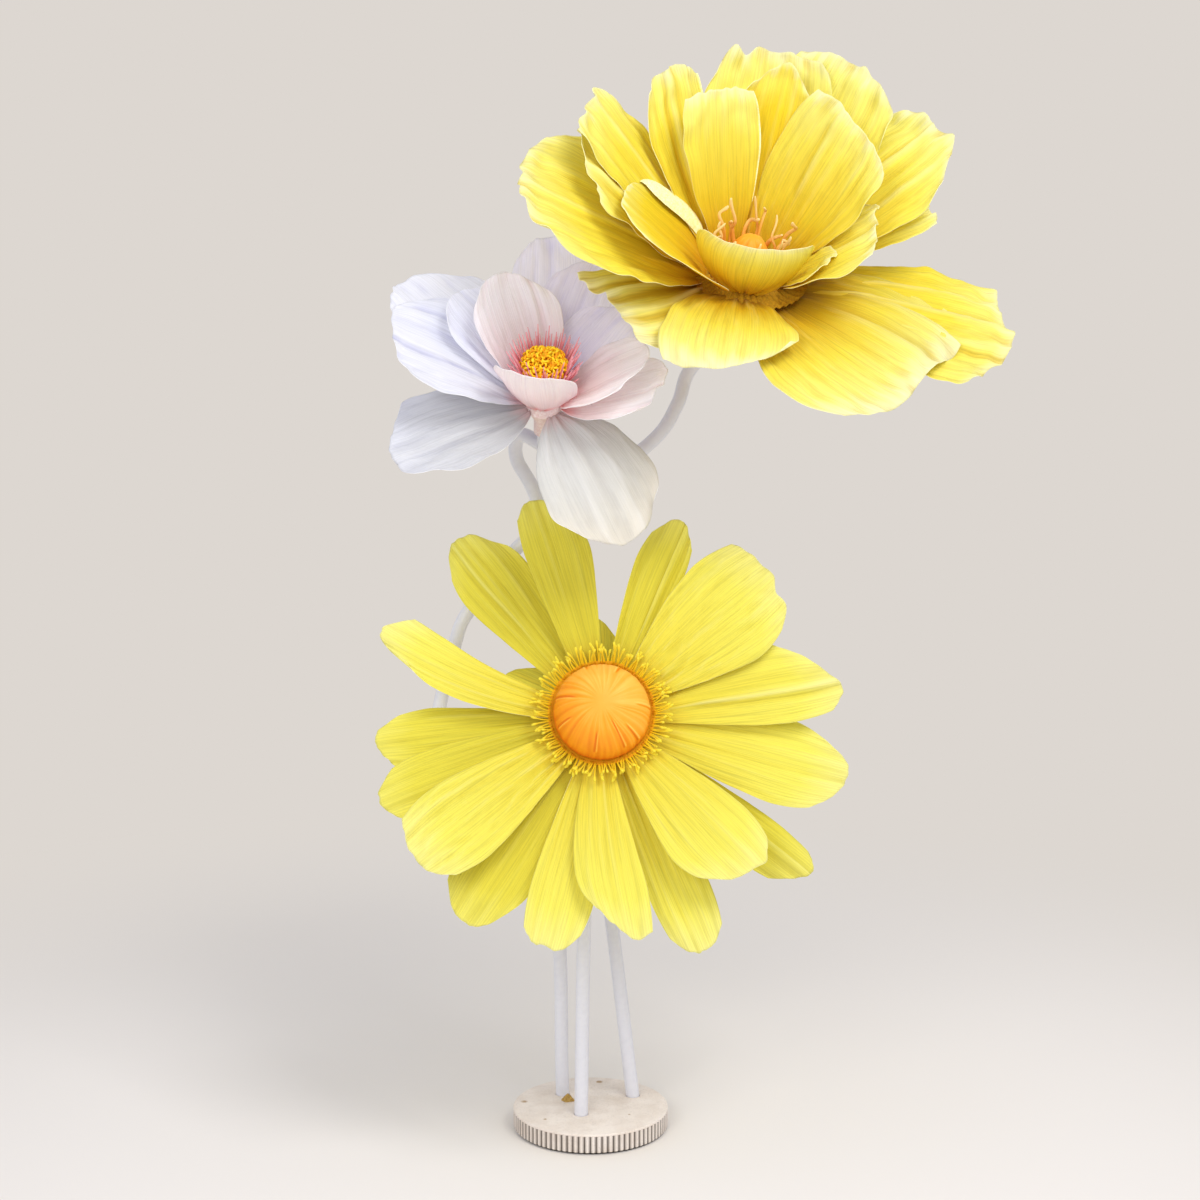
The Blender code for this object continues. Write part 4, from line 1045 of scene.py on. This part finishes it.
# Darker grey and cream copies of the white dye for the two lowest petals, which face down away from the
# light: painted shade
low_shade_dye = ((0.0, "#E0CCCC"), (0.14, "#DEDFDF"), (0.6, "#E3E2DF"), (1.0, "#EFEAE0"))
low_left_shade_dye = ((0.0, "#E6D0D0"), (0.14, "#D4D4D6"), (0.5, "#DADADD"), (1.0, "#EAEBF2"))
# Brighter, bluer copy of the white dye for the back petals, which the gold flower shades: painted cool light
cool_lit_dye = ((0.0, "#F8D8E2"), (0.16, "#F6F3FF"), (0.7, "#F9F7FF"))
white_tissue = crepe_paper("white_tissue_paper", white_dye, TISSUE_RIM, "#E4E4F2", 0.52, 0.06)
pink_tissue = crepe_paper("pink_tissue_paper", pink_dye, TISSUE_RIM, "#FBEEF1", 0.55, 0.04)
low_shade_tissue = crepe_paper("shaded_white_tissue_low", low_shade_dye, TISSUE_RIM, "#E6E4E2", 0.34, 0.03)
low_left_shade_tissue = crepe_paper("shaded_white_tissue_low_left", low_left_shade_dye, TISSUE_RIM, "#DCDCE4", 0.40, 0.06)
cool_lit_tissue = crepe_paper("cool_lit_tissue_paper", cool_lit_dye, TISSUE_RIM, "#E8E8FC", 0.60, 0.04)
tissue_edge = cut_edge("white_tissue_edge", TISSUE_RIM)
TISSUES = {"low": low_shade_tissue, "low_left": low_left_shade_tissue}
TISSUES |= dict.fromkeys(("upper", "front", "right", "low_right"), pink_tissue)
TISSUES |= dict.fromkeys(("back", "back_right", "right_back"), cool_lit_tissue)
WHITE_FOLDS = {
    "low": {"fan": (9, 0.25), "pleats": ((-0.3, 3, -0.4, 0.1), (0.35, 3, 0.3, 0.2))},
    "low_left": {"pleats": ((0.2, 4, 0.5, 0.2),)},
    "left": {"pleats": ((0.1, 6, 0.4, 0.2), (-0.5, 4, -0.3, 0.3)), "crumple": 2.4},
    "front": {"depth": 1.5, "crumple": 0.6},
    "upper": {"depth": 2.5, "pleats": ((-0.45, 3, -0.3, 0.3),)},
}
for number, (name, bearing, *cut) in enumerate(WHITE_PETALS):
    usual = {"depth": 5.0, "crumple": 1.8, "fan": (5, 0.1), "gather": 1.6, "cup": -1.0, "ruffle": 5.0}
    relief = soft_folds(70.7 + 3.9 * number, tip_curl=1.5, **{**usual, **WHITE_FOLDS.get(name, {})})
    sheet = grow_petal(cut, WHITE_SWELL, WHITE_HUB["radius"], WHITE_ROOT, *WHITE_FINE, relief, TISSUE_RAG)
    turn = Matrix.Rotation(math.radians(bearing), 4, "Z")
    finishes = (TISSUES.get(name, white_tissue), tissue_edge)
    petal = add_petal(f"white_tissue_{name}", sheet, finishes, PAPER, head_frame(WHITE_PLACE) @ turn)
    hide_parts("white_petal_" + name)


# White flower's heart
# A wooden core with a crown of straight pink paper strands, and on top a tuft of yellow paper
# twists, rolled between the fingers and glued in a heap.
CORE_RADIUS = 0.012
TUFT_RADIUS = 0.036
TUFT_LOW = 0.056
TUFT_TOP = 0.080
PINK_STRANDS = 190
PINK_REACH = 0.050
PINK_TOP = 0.078
PINK_RADIUS = 0.0011
TWISTS = 210
TWIST_LOOP = 0.0042
TWIST_RADIUS = 0.0017
GOLDEN_TURN = 2.39996
PINK_DYE = ((0.1, "#F0788C"), (0.6, "#F690A2"), (1.0, "#FBC4CA"))
# Yellow paper, drawn with deep orange as painted shade and pale yellow as painted highlight
YELLOW_LIT_AND_SHADED = ((0.0, "#F09A00"), (0.45, "#FCC400"), (1.0, "#FFDF2A"))
pink_paper = strand_paper("pink_strand_paper", PINK_DYE, 0.7, 0.4)
yellow_paper = strand_paper("yellow_twist_paper", YELLOW_LIT_AND_SHADED, 0.65, 0)
strands = []
for number in range(PINK_STRANDS):
    bearing = GOLDEN_TURN * number
    wild = math.sin(9.1 * number), math.sin(4.7 * number + 1), math.sin(6.3 * number + 2)
    reach = PINK_REACH + 0.007 * wild[0]
    top = PINK_TOP + 0.010 * wild[1] - 0.012 * (number % 3)
    line = []
    for share in np.linspace(0, 1, 7):
        out = CORE_RADIUS * 0.7 + (reach - CORE_RADIUS * 0.7) * share**0.9
        at = bearing + 0.12 * wild[2] * share
        line.append((out * math.cos(at), out * math.sin(at), 0.008 + top * share**1.15))
    widths = PINK_RADIUS * np.array([1.3, 1.1, 1, 0.95, 0.95, 1.0, 0.6])
    strands.append((line, widths, np.linspace(0, 1, len(line))))
crown = bundle("pink_strand_crown", strands, 5, pink_paper)
strands = []
for number in range(TWISTS):
    share = (number + 0.5) / TWISTS
    polar = math.acos(1 - share * 0.98)
    bearing = GOLDEN_TURN * number
    radius = TUFT_RADIUS * math.sin(polar) * 0.92
    height = TUFT_LOW + (TUFT_TOP - TUFT_LOW) * math.cos(polar)
    middle = Vector((radius * math.cos(bearing), radius * math.sin(bearing), height))
    start, loop = 1.7 * number, TWIST_LOOP + 0.0016 * math.sin(3.3 * number)
    tilt = Matrix.Rotation(0.9 * math.sin(2.1 * number), 3, "X")
    tilt = tilt @ Matrix.Rotation(0.9 * math.cos(1.3 * number), 3, "Y")
    line = []
    for step in range(9):
        angle = start + 4.4 * step / 8
        curl = Vector((loop * math.cos(angle), loop * math.sin(angle), 0.0035 * (step / 8 - 0.3)))
        line.append(middle + tilt @ curl)
    widths = TWIST_RADIUS * np.array([0.6, 1, 1, 1, 1, 1, 1, 1, 0.6])
    # Along each twist the tint swings between painted shade and painted highlight
    strands.append((line, widths, 0.5 + 0.5 * np.sin(np.arange(9) * 0.8 + number)))
tuft = bundle("yellow_twist_tuft", strands, 6, yellow_paper)
core_line = [(0, 0, height) for height in (0, 0.02, 0.045, 0.060, 0.070)]
core_radii = (CORE_RADIUS, CORE_RADIUS, 0.015, 0.028, 0.020)
# The core takes the deep end of the ramp, the painted shade colour
core = bundle("heart_core", [(core_line, core_radii, 5 * (0,))], 24, yellow_paper)
for piece in (crown, tuft, core):
    piece.data.transform(head_frame(WHITE_PLACE) @ Matrix.Translation((0, 0, WHITE_HUB["above"] + SEAT)))
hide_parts("white_centre")


# Gold petals
# Nineteen large petals of golden crepe, dyed deeper at the root. The inner ones stand up round
# the bud, the outer ones lie back, and their free edges were stretched into frills.
GOLD_ROOT = 0.018
GOLD_SWELL = 1.8
GOLD_ROWS = 62
GOLD_COLUMNS = 64
BROAD_COLUMNS = 96
CREPE_RAG = 0.016
# Pale cut-edge colour, also used for the painted highlight on the crowns of the folds
GOLD_RIM = "#FFFCC0"
BACK_LOBES = (0.95, 0.99, 0.98, 0.98, 0.98, 1, 0.95, 0.99, 0.86)
RIGHT_LOBES = (0.80, 0.90, 1, 0.97, 0.99, 0.99, 0.88)
GOLD_PETALS = (
    ("far_right", 339, 0.367, (0.140, 0.140), (-0.0145, 3, -4), 0, (0.88, 0.97, 1, 0.96, 0.97)),
    ("low_right", 311, 0.294, (0.205, 0.205), (-0.0125, 9, -8), 0, (0.92, 0.98, 0.93, 0.97, 1.03)),
    ("low_left", 194.1, 0.211, (0.060, 0.140), (-0.0105, 10, -4), 0, (1, 0.98, 0.86, 0.90, 0.99)),
    ("low", 250, 0.236, (0.115, 0.098), (-0.008, 28, -19), 0, (1, 0.97, 0.90, 0.78, 0.62)),
    ("right", 6.2, 0.262, (0.037, 0.049), (-0.0125, 30, 18), 0, (0.97, 1, 0.98, 1, 0.92)),
    ("left", 170.5, 0.339, (0.172, 0.172), (-0.009, 30, 19), 0, (0.85, 0.97, 0.99, 1.01, 0.88)),
    ("right_upper", 23, 0.347, (0.108, 0.098), (-0.0105, 36, 28), 0, RIGHT_LOBES),
    ("left_mid", 156, 0.288, (0.050, 0.115), (-0.0075, 36, 35), 0, (0.95, 1, 0.98, 0.86, 0.80)),
    ("left_tall", 145, 0.313, (0.072, 0.070), (-0.006, 40, 38), 0, (0.87, 1, 0.97, 0.96, 0.94)),
    ("back_right", 48.5, 0.343, (0.090, 0.115), (-0.0085, 40.5, 42.5), 0, (0.88, 0.96, 0.99, 1, 0.98)),
    ("back", 75, 0.323, (0.105, 0.100), (-0.0065, 43.5, 46), 0, BACK_LOBES),
    ("left_upright", 120, 0.293, (0.055, 0.072), (-0.0045, 45.5, 48), -0.030, (0.94, 0.99, 1, 0.96, 0.87)),
    ("right_inner", 353.9, 0.176, (0.125, 0.054), (-0.0025, 47, 40), 0, (1, 0.96, 0.97, 1.03, 0.92)),
    ("left_inner", 175, 0.200, (0.095, 0.130), (-0.0015, 42, 38), 0, (0.80, 0.92, 1, 1.1, 1.05)),
    ("back_inner", 70.2, 0.295, (0.075, 0.062), (-0.003, 49, 55), 0, (0.78, 0.90, 1, 0.93, 0.84)),
    ("right_tall", 32, 0.258, (0.105, 0.098), (-0.001, 52, 60), 0, (0.84, 0.90, 0.94, 1, 1.02)),
    ("upright", 101.9, 0.243, (0.060, 0.072), (0, 60, 62), 0, (0.98, 1, 1, 1, 0.98)),
    ("front_right", 330, 0.102, (0.055, 0.036), (0.0005, 50, 47), 0, (0.90, 1, 1, 1, 0.92)),
    ("front", 256.2, 0.115, (0.112, 0.112), (0.002, 56, 88), 0, (0.90, 0.97, 1, 1, 0.92)),
)
gold_dye = ((0.02, "#EDBC0C"), (0.3, "#F6DC2A"), (0.7, "#F9E948"), (0.92, "#FCF37C"), (1.0, "#FEFAB8"))
deep_gold_dye = ((0.05, "#ECB408"), (0.4, "#F8D616"), (0.75, "#FBE42A"), (0.95, "#FCF16C"), (1.0, "#FFFAB8"))
pale_gold_dye = ((0.05, "#EFC20E"), (0.35, "#F8E032"), (0.7, "#FBEF5C"), (0.92, "#FDF88E"), (1.0, "#FFFCC8"))
# The dark amber at the roots of the three low petals is partly dye and partly painted shade, where they pass
# under the front petals
amber_root_dye = (
    (0.08, "#B27C06"),
    (0.28, "#DDB40E"),
    (0.55, "#F3E046"),
    (0.82, "#F8EF7C"),
    (1.0, "#FDF9C4"),
)
gold_crepe = crepe_paper("gold_crepe_paper", gold_dye, GOLD_RIM, "#EEDD9C", 0.30, 0.12)
deep_gold_crepe = crepe_paper("deep_gold_crepe_paper", deep_gold_dye, GOLD_RIM, "#EED894", 0.34, 0.08)
pale_gold_crepe = crepe_paper("pale_gold_crepe_paper", pale_gold_dye, GOLD_RIM, "#F0E4AC", 0.36, 0.10)
amber_root_crepe = crepe_paper("amber_root_crepe_paper", amber_root_dye, GOLD_RIM, "#E4D088", 0.26, 0.12)
gold_edge = cut_edge("gold_crepe_edge", GOLD_RIM)
PALE_PETALS = ("right_tall", "back_right", "right_upper", "right_inner", "upright", "front", "back", "right")
GOLD_CREPES = dict.fromkeys(("left_inner", "back_inner"), deep_gold_crepe)
GOLD_CREPES |= dict.fromkeys(("low_left", "low", "low_right"), amber_root_crepe)
GOLD_CREPES |= dict.fromkeys(PALE_PETALS, pale_gold_crepe)
GOLD_FOLDS = {
    "left": {"fan": (20, 0.25), "pleats": ((0.12, 8, 0.3, 0.1), (-0.35, 5, 0.3, 0.2))},
    "left_mid": {"pleats": ((0.3, 8, 0.4, 0.2),)},
    "left_tall": {"fan": (10, 0.3), "pleats": ((-0.1, 7, 0.5, 0.2),)},
    "left_upright": {"pleats": ((0.2, 9, 0.5, 0.1), (-0.5, 6, -0.3, 0.3)), "sides": (0, -8)},
    "left_inner": {"depth": 4.0, "crumple": 0.8, "sides": (0, -8), "ruffle": 2.0},
    "upright": {"depth": 4.0, "crumple": 0.8, "sides": (-4, -6)},
    "back_inner": {"fan": (9, 0.4), "depth": 8.0},
    "right_tall": {"depth": 9.0, "pleats": ((0.3, 7, 0.5, 0.3), (-0.4, 5, -0.3, 0.5))},
    "back_right": {"ruffle": 9.0, "crumple": 2.2, "depth": 10.0},
    "back": {"ruffle": 9.0, "crumple": 2.2, "depth": 10.0},
    "right_upper": {
        "ruffle": 9.0,
        "crumple": 2.4,
        "depth": 10.0,
        "pleats": ((0.1, 12, 0.5, 0.3), (-0.5, 8, -0.4, 0.4)),
    },
    "right_inner": {"ruffle": 6.0, "pleats": ((0.25, 6, 0.4, 0.1), (-0.2, 6, 0.35, 0.2))},
    "front": {"depth": 2.0, "crumple": 0.5, "ruffle": 1.5, "cup": -4.0},
    "low": {"depth": 6.0, "cup": -5.0},
    "low_left": {
        "pleats": ((0.0, 10, 0.3, 0.0), (0.4, 9, 0.3, 0.0), (-0.45, 9, 0.35, 0.0), (0.75, 7, 0.25, 0.1)),
    },
    "low_right": {
        "fan": (34, 0.4),
        "depth": 6.0,
        "cup": -8.0,
        "pleats": ((0.6, 8, 0.35, 0.2), (0.2, 5, 0.3, 0.2)),
    },
    "far_right": {
        "crumple": 3.0,
        "ruffle": 9.0,
        "pleats": ((0.1, 12, 0.35, 0.1), (0.5, 10, 0.3, 0.2), (-0.35, 10, -0.35, 0.3)),
    },
}
# Right edges rolled back on themselves: radius of the roll
ROLLED_RIMS = {"upright": 0.0022, "left_upright": 0.0024}
ROLL_FROM_ROW = 16
# The right edge of left_inner is turned over: columns it covers, height and start
FLAP_COLUMNS = 15
FLAP_STEPS = 10
FLAP_LIFT = 0.015
FLAP_START = 0.0008
rolled_crepe = card_cover("rolled_crepe_rim", "#F8EE98", "#FFFCCC")
BROAD_ROOTS = {"left_inner": 4.0, "right_inner": 3.0, "right_tall": 2.4, "front": 2.4}
for number, (name, bearing, *cut) in enumerate(GOLD_PETALS):
    usual = {"depth": 8.0, "crumple": 1.8, "fan": (9, 0.2), "gather": 2.0, "cup": -3.0, "ruffle": 7.0}
    relief = soft_folds(130.9 + 5.3 * number, tip_curl=2.0, **{**usual, **GOLD_FOLDS.get(name, {})})
    fine = GOLD_ROWS, BROAD_COLUMNS if name in ("left", "low_right", "far_right") else GOLD_COLUMNS
    swell = BROAD_ROOTS.get(name, GOLD_SWELL)
    sheet = grow_petal(cut, swell, GOLD_HUB["radius"], GOLD_ROOT, *fine, relief, CREPE_RAG)
    turn = Matrix.Rotation(math.radians(bearing), 4, "Z")
    finishes = (GOLD_CREPES.get(name, gold_crepe), gold_edge)
    petal = add_petal(f"gold_crepe_{name}", sheet, finishes, PAPER, head_frame(GOLD_PLACE) @ turn)
    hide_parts("gold_petal_" + name)
    if name in ROLLED_RIMS:
        rim = sheet[0][ROLL_FROM_ROW:, 0]
        widths = ROLLED_RIMS[name] * np.sin(np.linspace(0.15, 2.6, len(rim))) ** 0.6
        points, faces = sweep(rim, widths, 12, 0.55)
        roll = add_piece(f"gold_rolled_rim_{name}", points, faces, rolled_crepe)
        roll.data.transform(head_frame(GOLD_PLACE) @ turn)
    if name == "left_inner":
        edge = sheet[0][5:-3]
        front = np.cross(np.gradient(edge, axis=0), np.gradient(edge, axis=1))
        front /= np.linalg.norm(front, axis=-1, keepdims=True)
        swelling = np.sin(np.linspace(0.12, 3.0, len(edge))) ** 0.5
        over = np.linspace(0, 1, FLAP_STEPS)
        column = np.minimum(over * swelling[:, None] * FLAP_COLUMNS, FLAP_COLUMNS - 0.01)
        row, whole = np.arange(len(edge))[:, None], column.astype(int)
        part = (column - whole)[..., None]
        lift = (FLAP_START + FLAP_LIFT * np.sin(2.7 * over**0.6)) * swelling[:, None]
        flap = edge[row, whole] * (1 - part) + edge[row, whole + 1] * part
        flap = flap + front[row, whole] * lift[..., None]
        fold = add_piece("gold_turned_edge", flap, grid_faces(*flap.shape[:2]), rolled_crepe)
        fold.data.transform(head_frame(GOLD_PLACE) @ turn)


# Gold collar
# The gathered roots of the petals, wound round with a strip of amber crepe and glue, which fill
# the hollow under the front petals. Its dark amber is painted shade under the front petals.
COLLAR_RINGS = ((0.0585, 0.001), (0.066, 0.002), (0.078, 0.000), (0.092, 0.002), (0.100, 0.006))
COLLAR_PLEATS = 46
COLLAR_WAVE = 0.0022
# Dark amber: painted shade in the hollow under the front petals
collar_shade_crepe = card_cover("collar_shade_amber_strip", "#A87A08", "#C89A14")
angle = 2 * math.pi * np.arange(4 * COLLAR_PLEATS) / (4 * COLLAR_PLEATS)
points = []
for radius, height in COLLAR_RINGS:
    waved = height + COLLAR_WAVE * np.sin(COLLAR_PLEATS * angle + 0.9 * np.sin(5 * angle))
    points.append(np.stack([radius * np.cos(angle), radius * np.sin(angle), waved], -1))
faces = grid_faces(len(points), len(angle), closed=True)
collar = add_piece("gold_gathered_collar", points, faces, collar_shade_crepe)
collar.data.transform(head_frame(GOLD_PLACE))


# Gold flower's bud
# An orange crepe bud gathered over foam, ringed by apricot stamens: paper ribbons about 7 mm
# wide, twisted a little and curled round a needle. They are paler towards their tips.
BUD_RADIUS = 0.034
BUD_HEIGHT = 0.062
STAMENS = 21
STAMEN_STEPS = 33
STAMEN_SIDES = 8
STAMEN_LENGTH = 0.115
STAMEN_RADIUS = 0.0037
STAMEN_FLATNESS = 0.62
APRICOT_DYE = ((0.0, "#F29E22"), (0.5, "#FABC50"), (1.0, "#FFE6A0"))
points, faces, tint = gathered_cap(BUD_RADIUS, BUD_HEIGHT, 30, 120, 0.0026, 4.0, 8.8)
bud = add_piece("orange_bud", points, faces, orange_crepe)
# The bud's tint is the same painted light and shade as the dome's
mark_points(bud, "pleat", tint - 0.05)
apricot_paper = strand_paper("apricot_ribbon_paper", APRICOT_DYE, 0.6, 0.2)
strands = []
for number in range(STAMENS):
    bearing = 2 * math.pi * number / STAMENS
    wild = math.sin(2.3 * number), math.cos(1.7 * number), math.sin(4.1 * number + 1)
    length = STAMEN_LENGTH * (0.82 + 0.18 * wild[1])
    line = []
    for step in range(STAMEN_STEPS):
        share = step / (STAMEN_STEPS - 1)
        radius = BUD_RADIUS - 0.004 + 0.26 * length * math.sin(1.9 * share)
        radius += 0.003 * math.sin(6 * share + number)
        at = bearing + 0.40 * wild[0] * share**2 + 0.12 * wild[2] * math.sin(4 * share)
        rise = 0.004 + length * share * 0.86 + 0.010 * math.sin(3.4 * share) * wild[2]
        curl = ease(0.45, 1.0, np.array(share))
        radius += 0.011 * wild[2] * math.sin(3.4 * curl)
        rise -= 0.009 * curl
        line.append((radius * math.cos(at), radius * math.sin(at), rise))
    way = np.linspace(0, 1, STAMEN_STEPS)
    knob = 1 + 0.35 * np.exp(-(((way - 0.93) / 0.06) ** 2))
    widths = STAMEN_RADIUS * (1 - 0.3 * way) * knob * (1 - 0.5 * way**20)
    strands.append((line, widths, 0.15 + 0.85 * way, STAMEN_FLATNESS, 2.5 * wild[1]))
stamens = bundle("apricot_stamens", strands, STAMEN_SIDES, apricot_paper)
for piece in (bud, stamens):
    piece.data.transform(head_frame(GOLD_PLACE) @ Matrix.Translation((0, 0, GOLD_HUB["above"] + SEAT)))
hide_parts("gold_centre")


# Camera
# A long lens on a tripod at the height of the gold flower, tilted a little down.
LENS_MM = 64.8
SENSOR_MM = 36
CAMERA_PLACE = (0.0152, -3.3475, 1.3432)
CAMERA_PITCH = 8.2
lens = bpy.data.cameras.new("long_lens")
lens.lens = LENS_MM
lens.sensor_width = SENSOR_MM
camera = bpy.data.objects.new("long_lens", lens)
camera.location = CAMERA_PLACE
camera.rotation_euler = (math.radians(90 - CAMERA_PITCH), 0, 0)
bpy.context.scene.collection.objects.link(camera)
bpy.context.scene.camera = camera


# Studio
# A pale paper floor that fades into an even backdrop, one large soft box high on the right, a
# weaker one to the left of the camera, and plain light all round.
BACKDROP = "#DDD7D1"
FLOOR_PALE = "#ECE6E0"
FLOOR_RADIUS = 14
FLOOR_SIDES = 64
FADE_FROM = 0.7
FADE_TO = 2.2
SKY_PALE = "#F7F9FF"
SKY_LIGHT = 0.72
KEY_WATTS = 82
FILL_WATTS = 40
points = [
    (radius * math.cos(turn), radius * math.sin(turn), 0)
    for radius in (0.5, 1.5, 3, FLOOR_RADIUS)
    for turn in 2 * math.pi * np.arange(FLOOR_SIDES) / FLOOR_SIDES
]
floor_mesh = bpy.data.meshes.new("paper_floor")
floor_faces = grid_faces(4, FLOOR_SIDES, closed=True) + [list(range(FLOOR_SIDES))]
floor_mesh.from_pydata(points, [], floor_faces)
floor = bpy.data.objects.new("paper_floor", floor_mesh)
bpy.context.scene.collection.objects.link(floor)
sweep_paper = new_finish("studio_sweep_paper")
place = add_node(sweep_paper, "TexCoord").outputs["Object"]
away = add_node(sweep_paper, "VectorMath", {"operation": "LENGTH"}, {0: place})
fade = add_node(
    sweep_paper,
    "MapRange",
    {"interpolation_type": "SMOOTHSTEP", 1: FADE_FROM, 2: FADE_TO, 3: 0.0, 4: 1.0},
    {0: away.outputs["Value"]},
)
seen = add_node(sweep_paper, "LightPath")
part = reckon(sweep_paper, "MULTIPLY", fade.outputs[0], seen.outputs["Is Camera Ray"])
paper = add_node(sweep_paper, "BsdfPrincipled", {"Base Color": linear(FLOOR_PALE), "Roughness": 0.95})
even = add_node(sweep_paper, "Emission", {"Color": linear(BACKDROP), "Strength": 1.0})
mixed = add_node(sweep_paper, "MixShader", links={0: part, 1: paper.outputs[0], 2: even.outputs[0]})
close_finish(sweep_paper, mixed)
floor_mesh.materials.append(sweep_paper)
world = bpy.data.worlds.new("studio")
world.use_nodes = True
world.node_tree.nodes.clear()
bpy.context.scene.world = world
seen = add_node(world, "LightPath")
first = reckon(world, "MAXIMUM", seen.outputs["Is Camera Ray"], seen.outputs["Is Glossy Ray"])
either = reckon(world, "MAXIMUM", first, seen.outputs["Is Transmission Ray"])
light = add_node(world, "Background", {"Color": linear(SKY_PALE), "Strength": SKY_LIGHT})
drop = add_node(world, "Background", {"Color": linear(BACKDROP), "Strength": 1.0})
shown = add_node(world, "MixShader", links={0: either, 1: light.outputs[0], 2: drop.outputs[0]})
add_node(world, "OutputWorld", links={"Surface": shown.outputs[0]})
for name, spot, aim, size, watts in (
    ("key_box", (1.6, -2.3, 3.8), (0.0, 0.0, 0.9), 1.7, KEY_WATTS),
    ("fill_box", (-1.2, -3.4, 2.2), (0.0, 0.0, 1.1), 1.6, FILL_WATTS),
):
    lamp = bpy.data.lights.new(name, "AREA")
    lamp.shape = "SQUARE"
    lamp.size = size
    lamp.energy = watts
    box = bpy.data.objects.new(name, lamp)
    box.location = spot
    box.rotation_euler = (Vector(aim) - Vector(spot)).to_track_quat("-Z", "Y").to_euler()
    bpy.context.scene.collection.objects.link(box)
bpy.context.scene.view_settings.view_transform = "Standard"
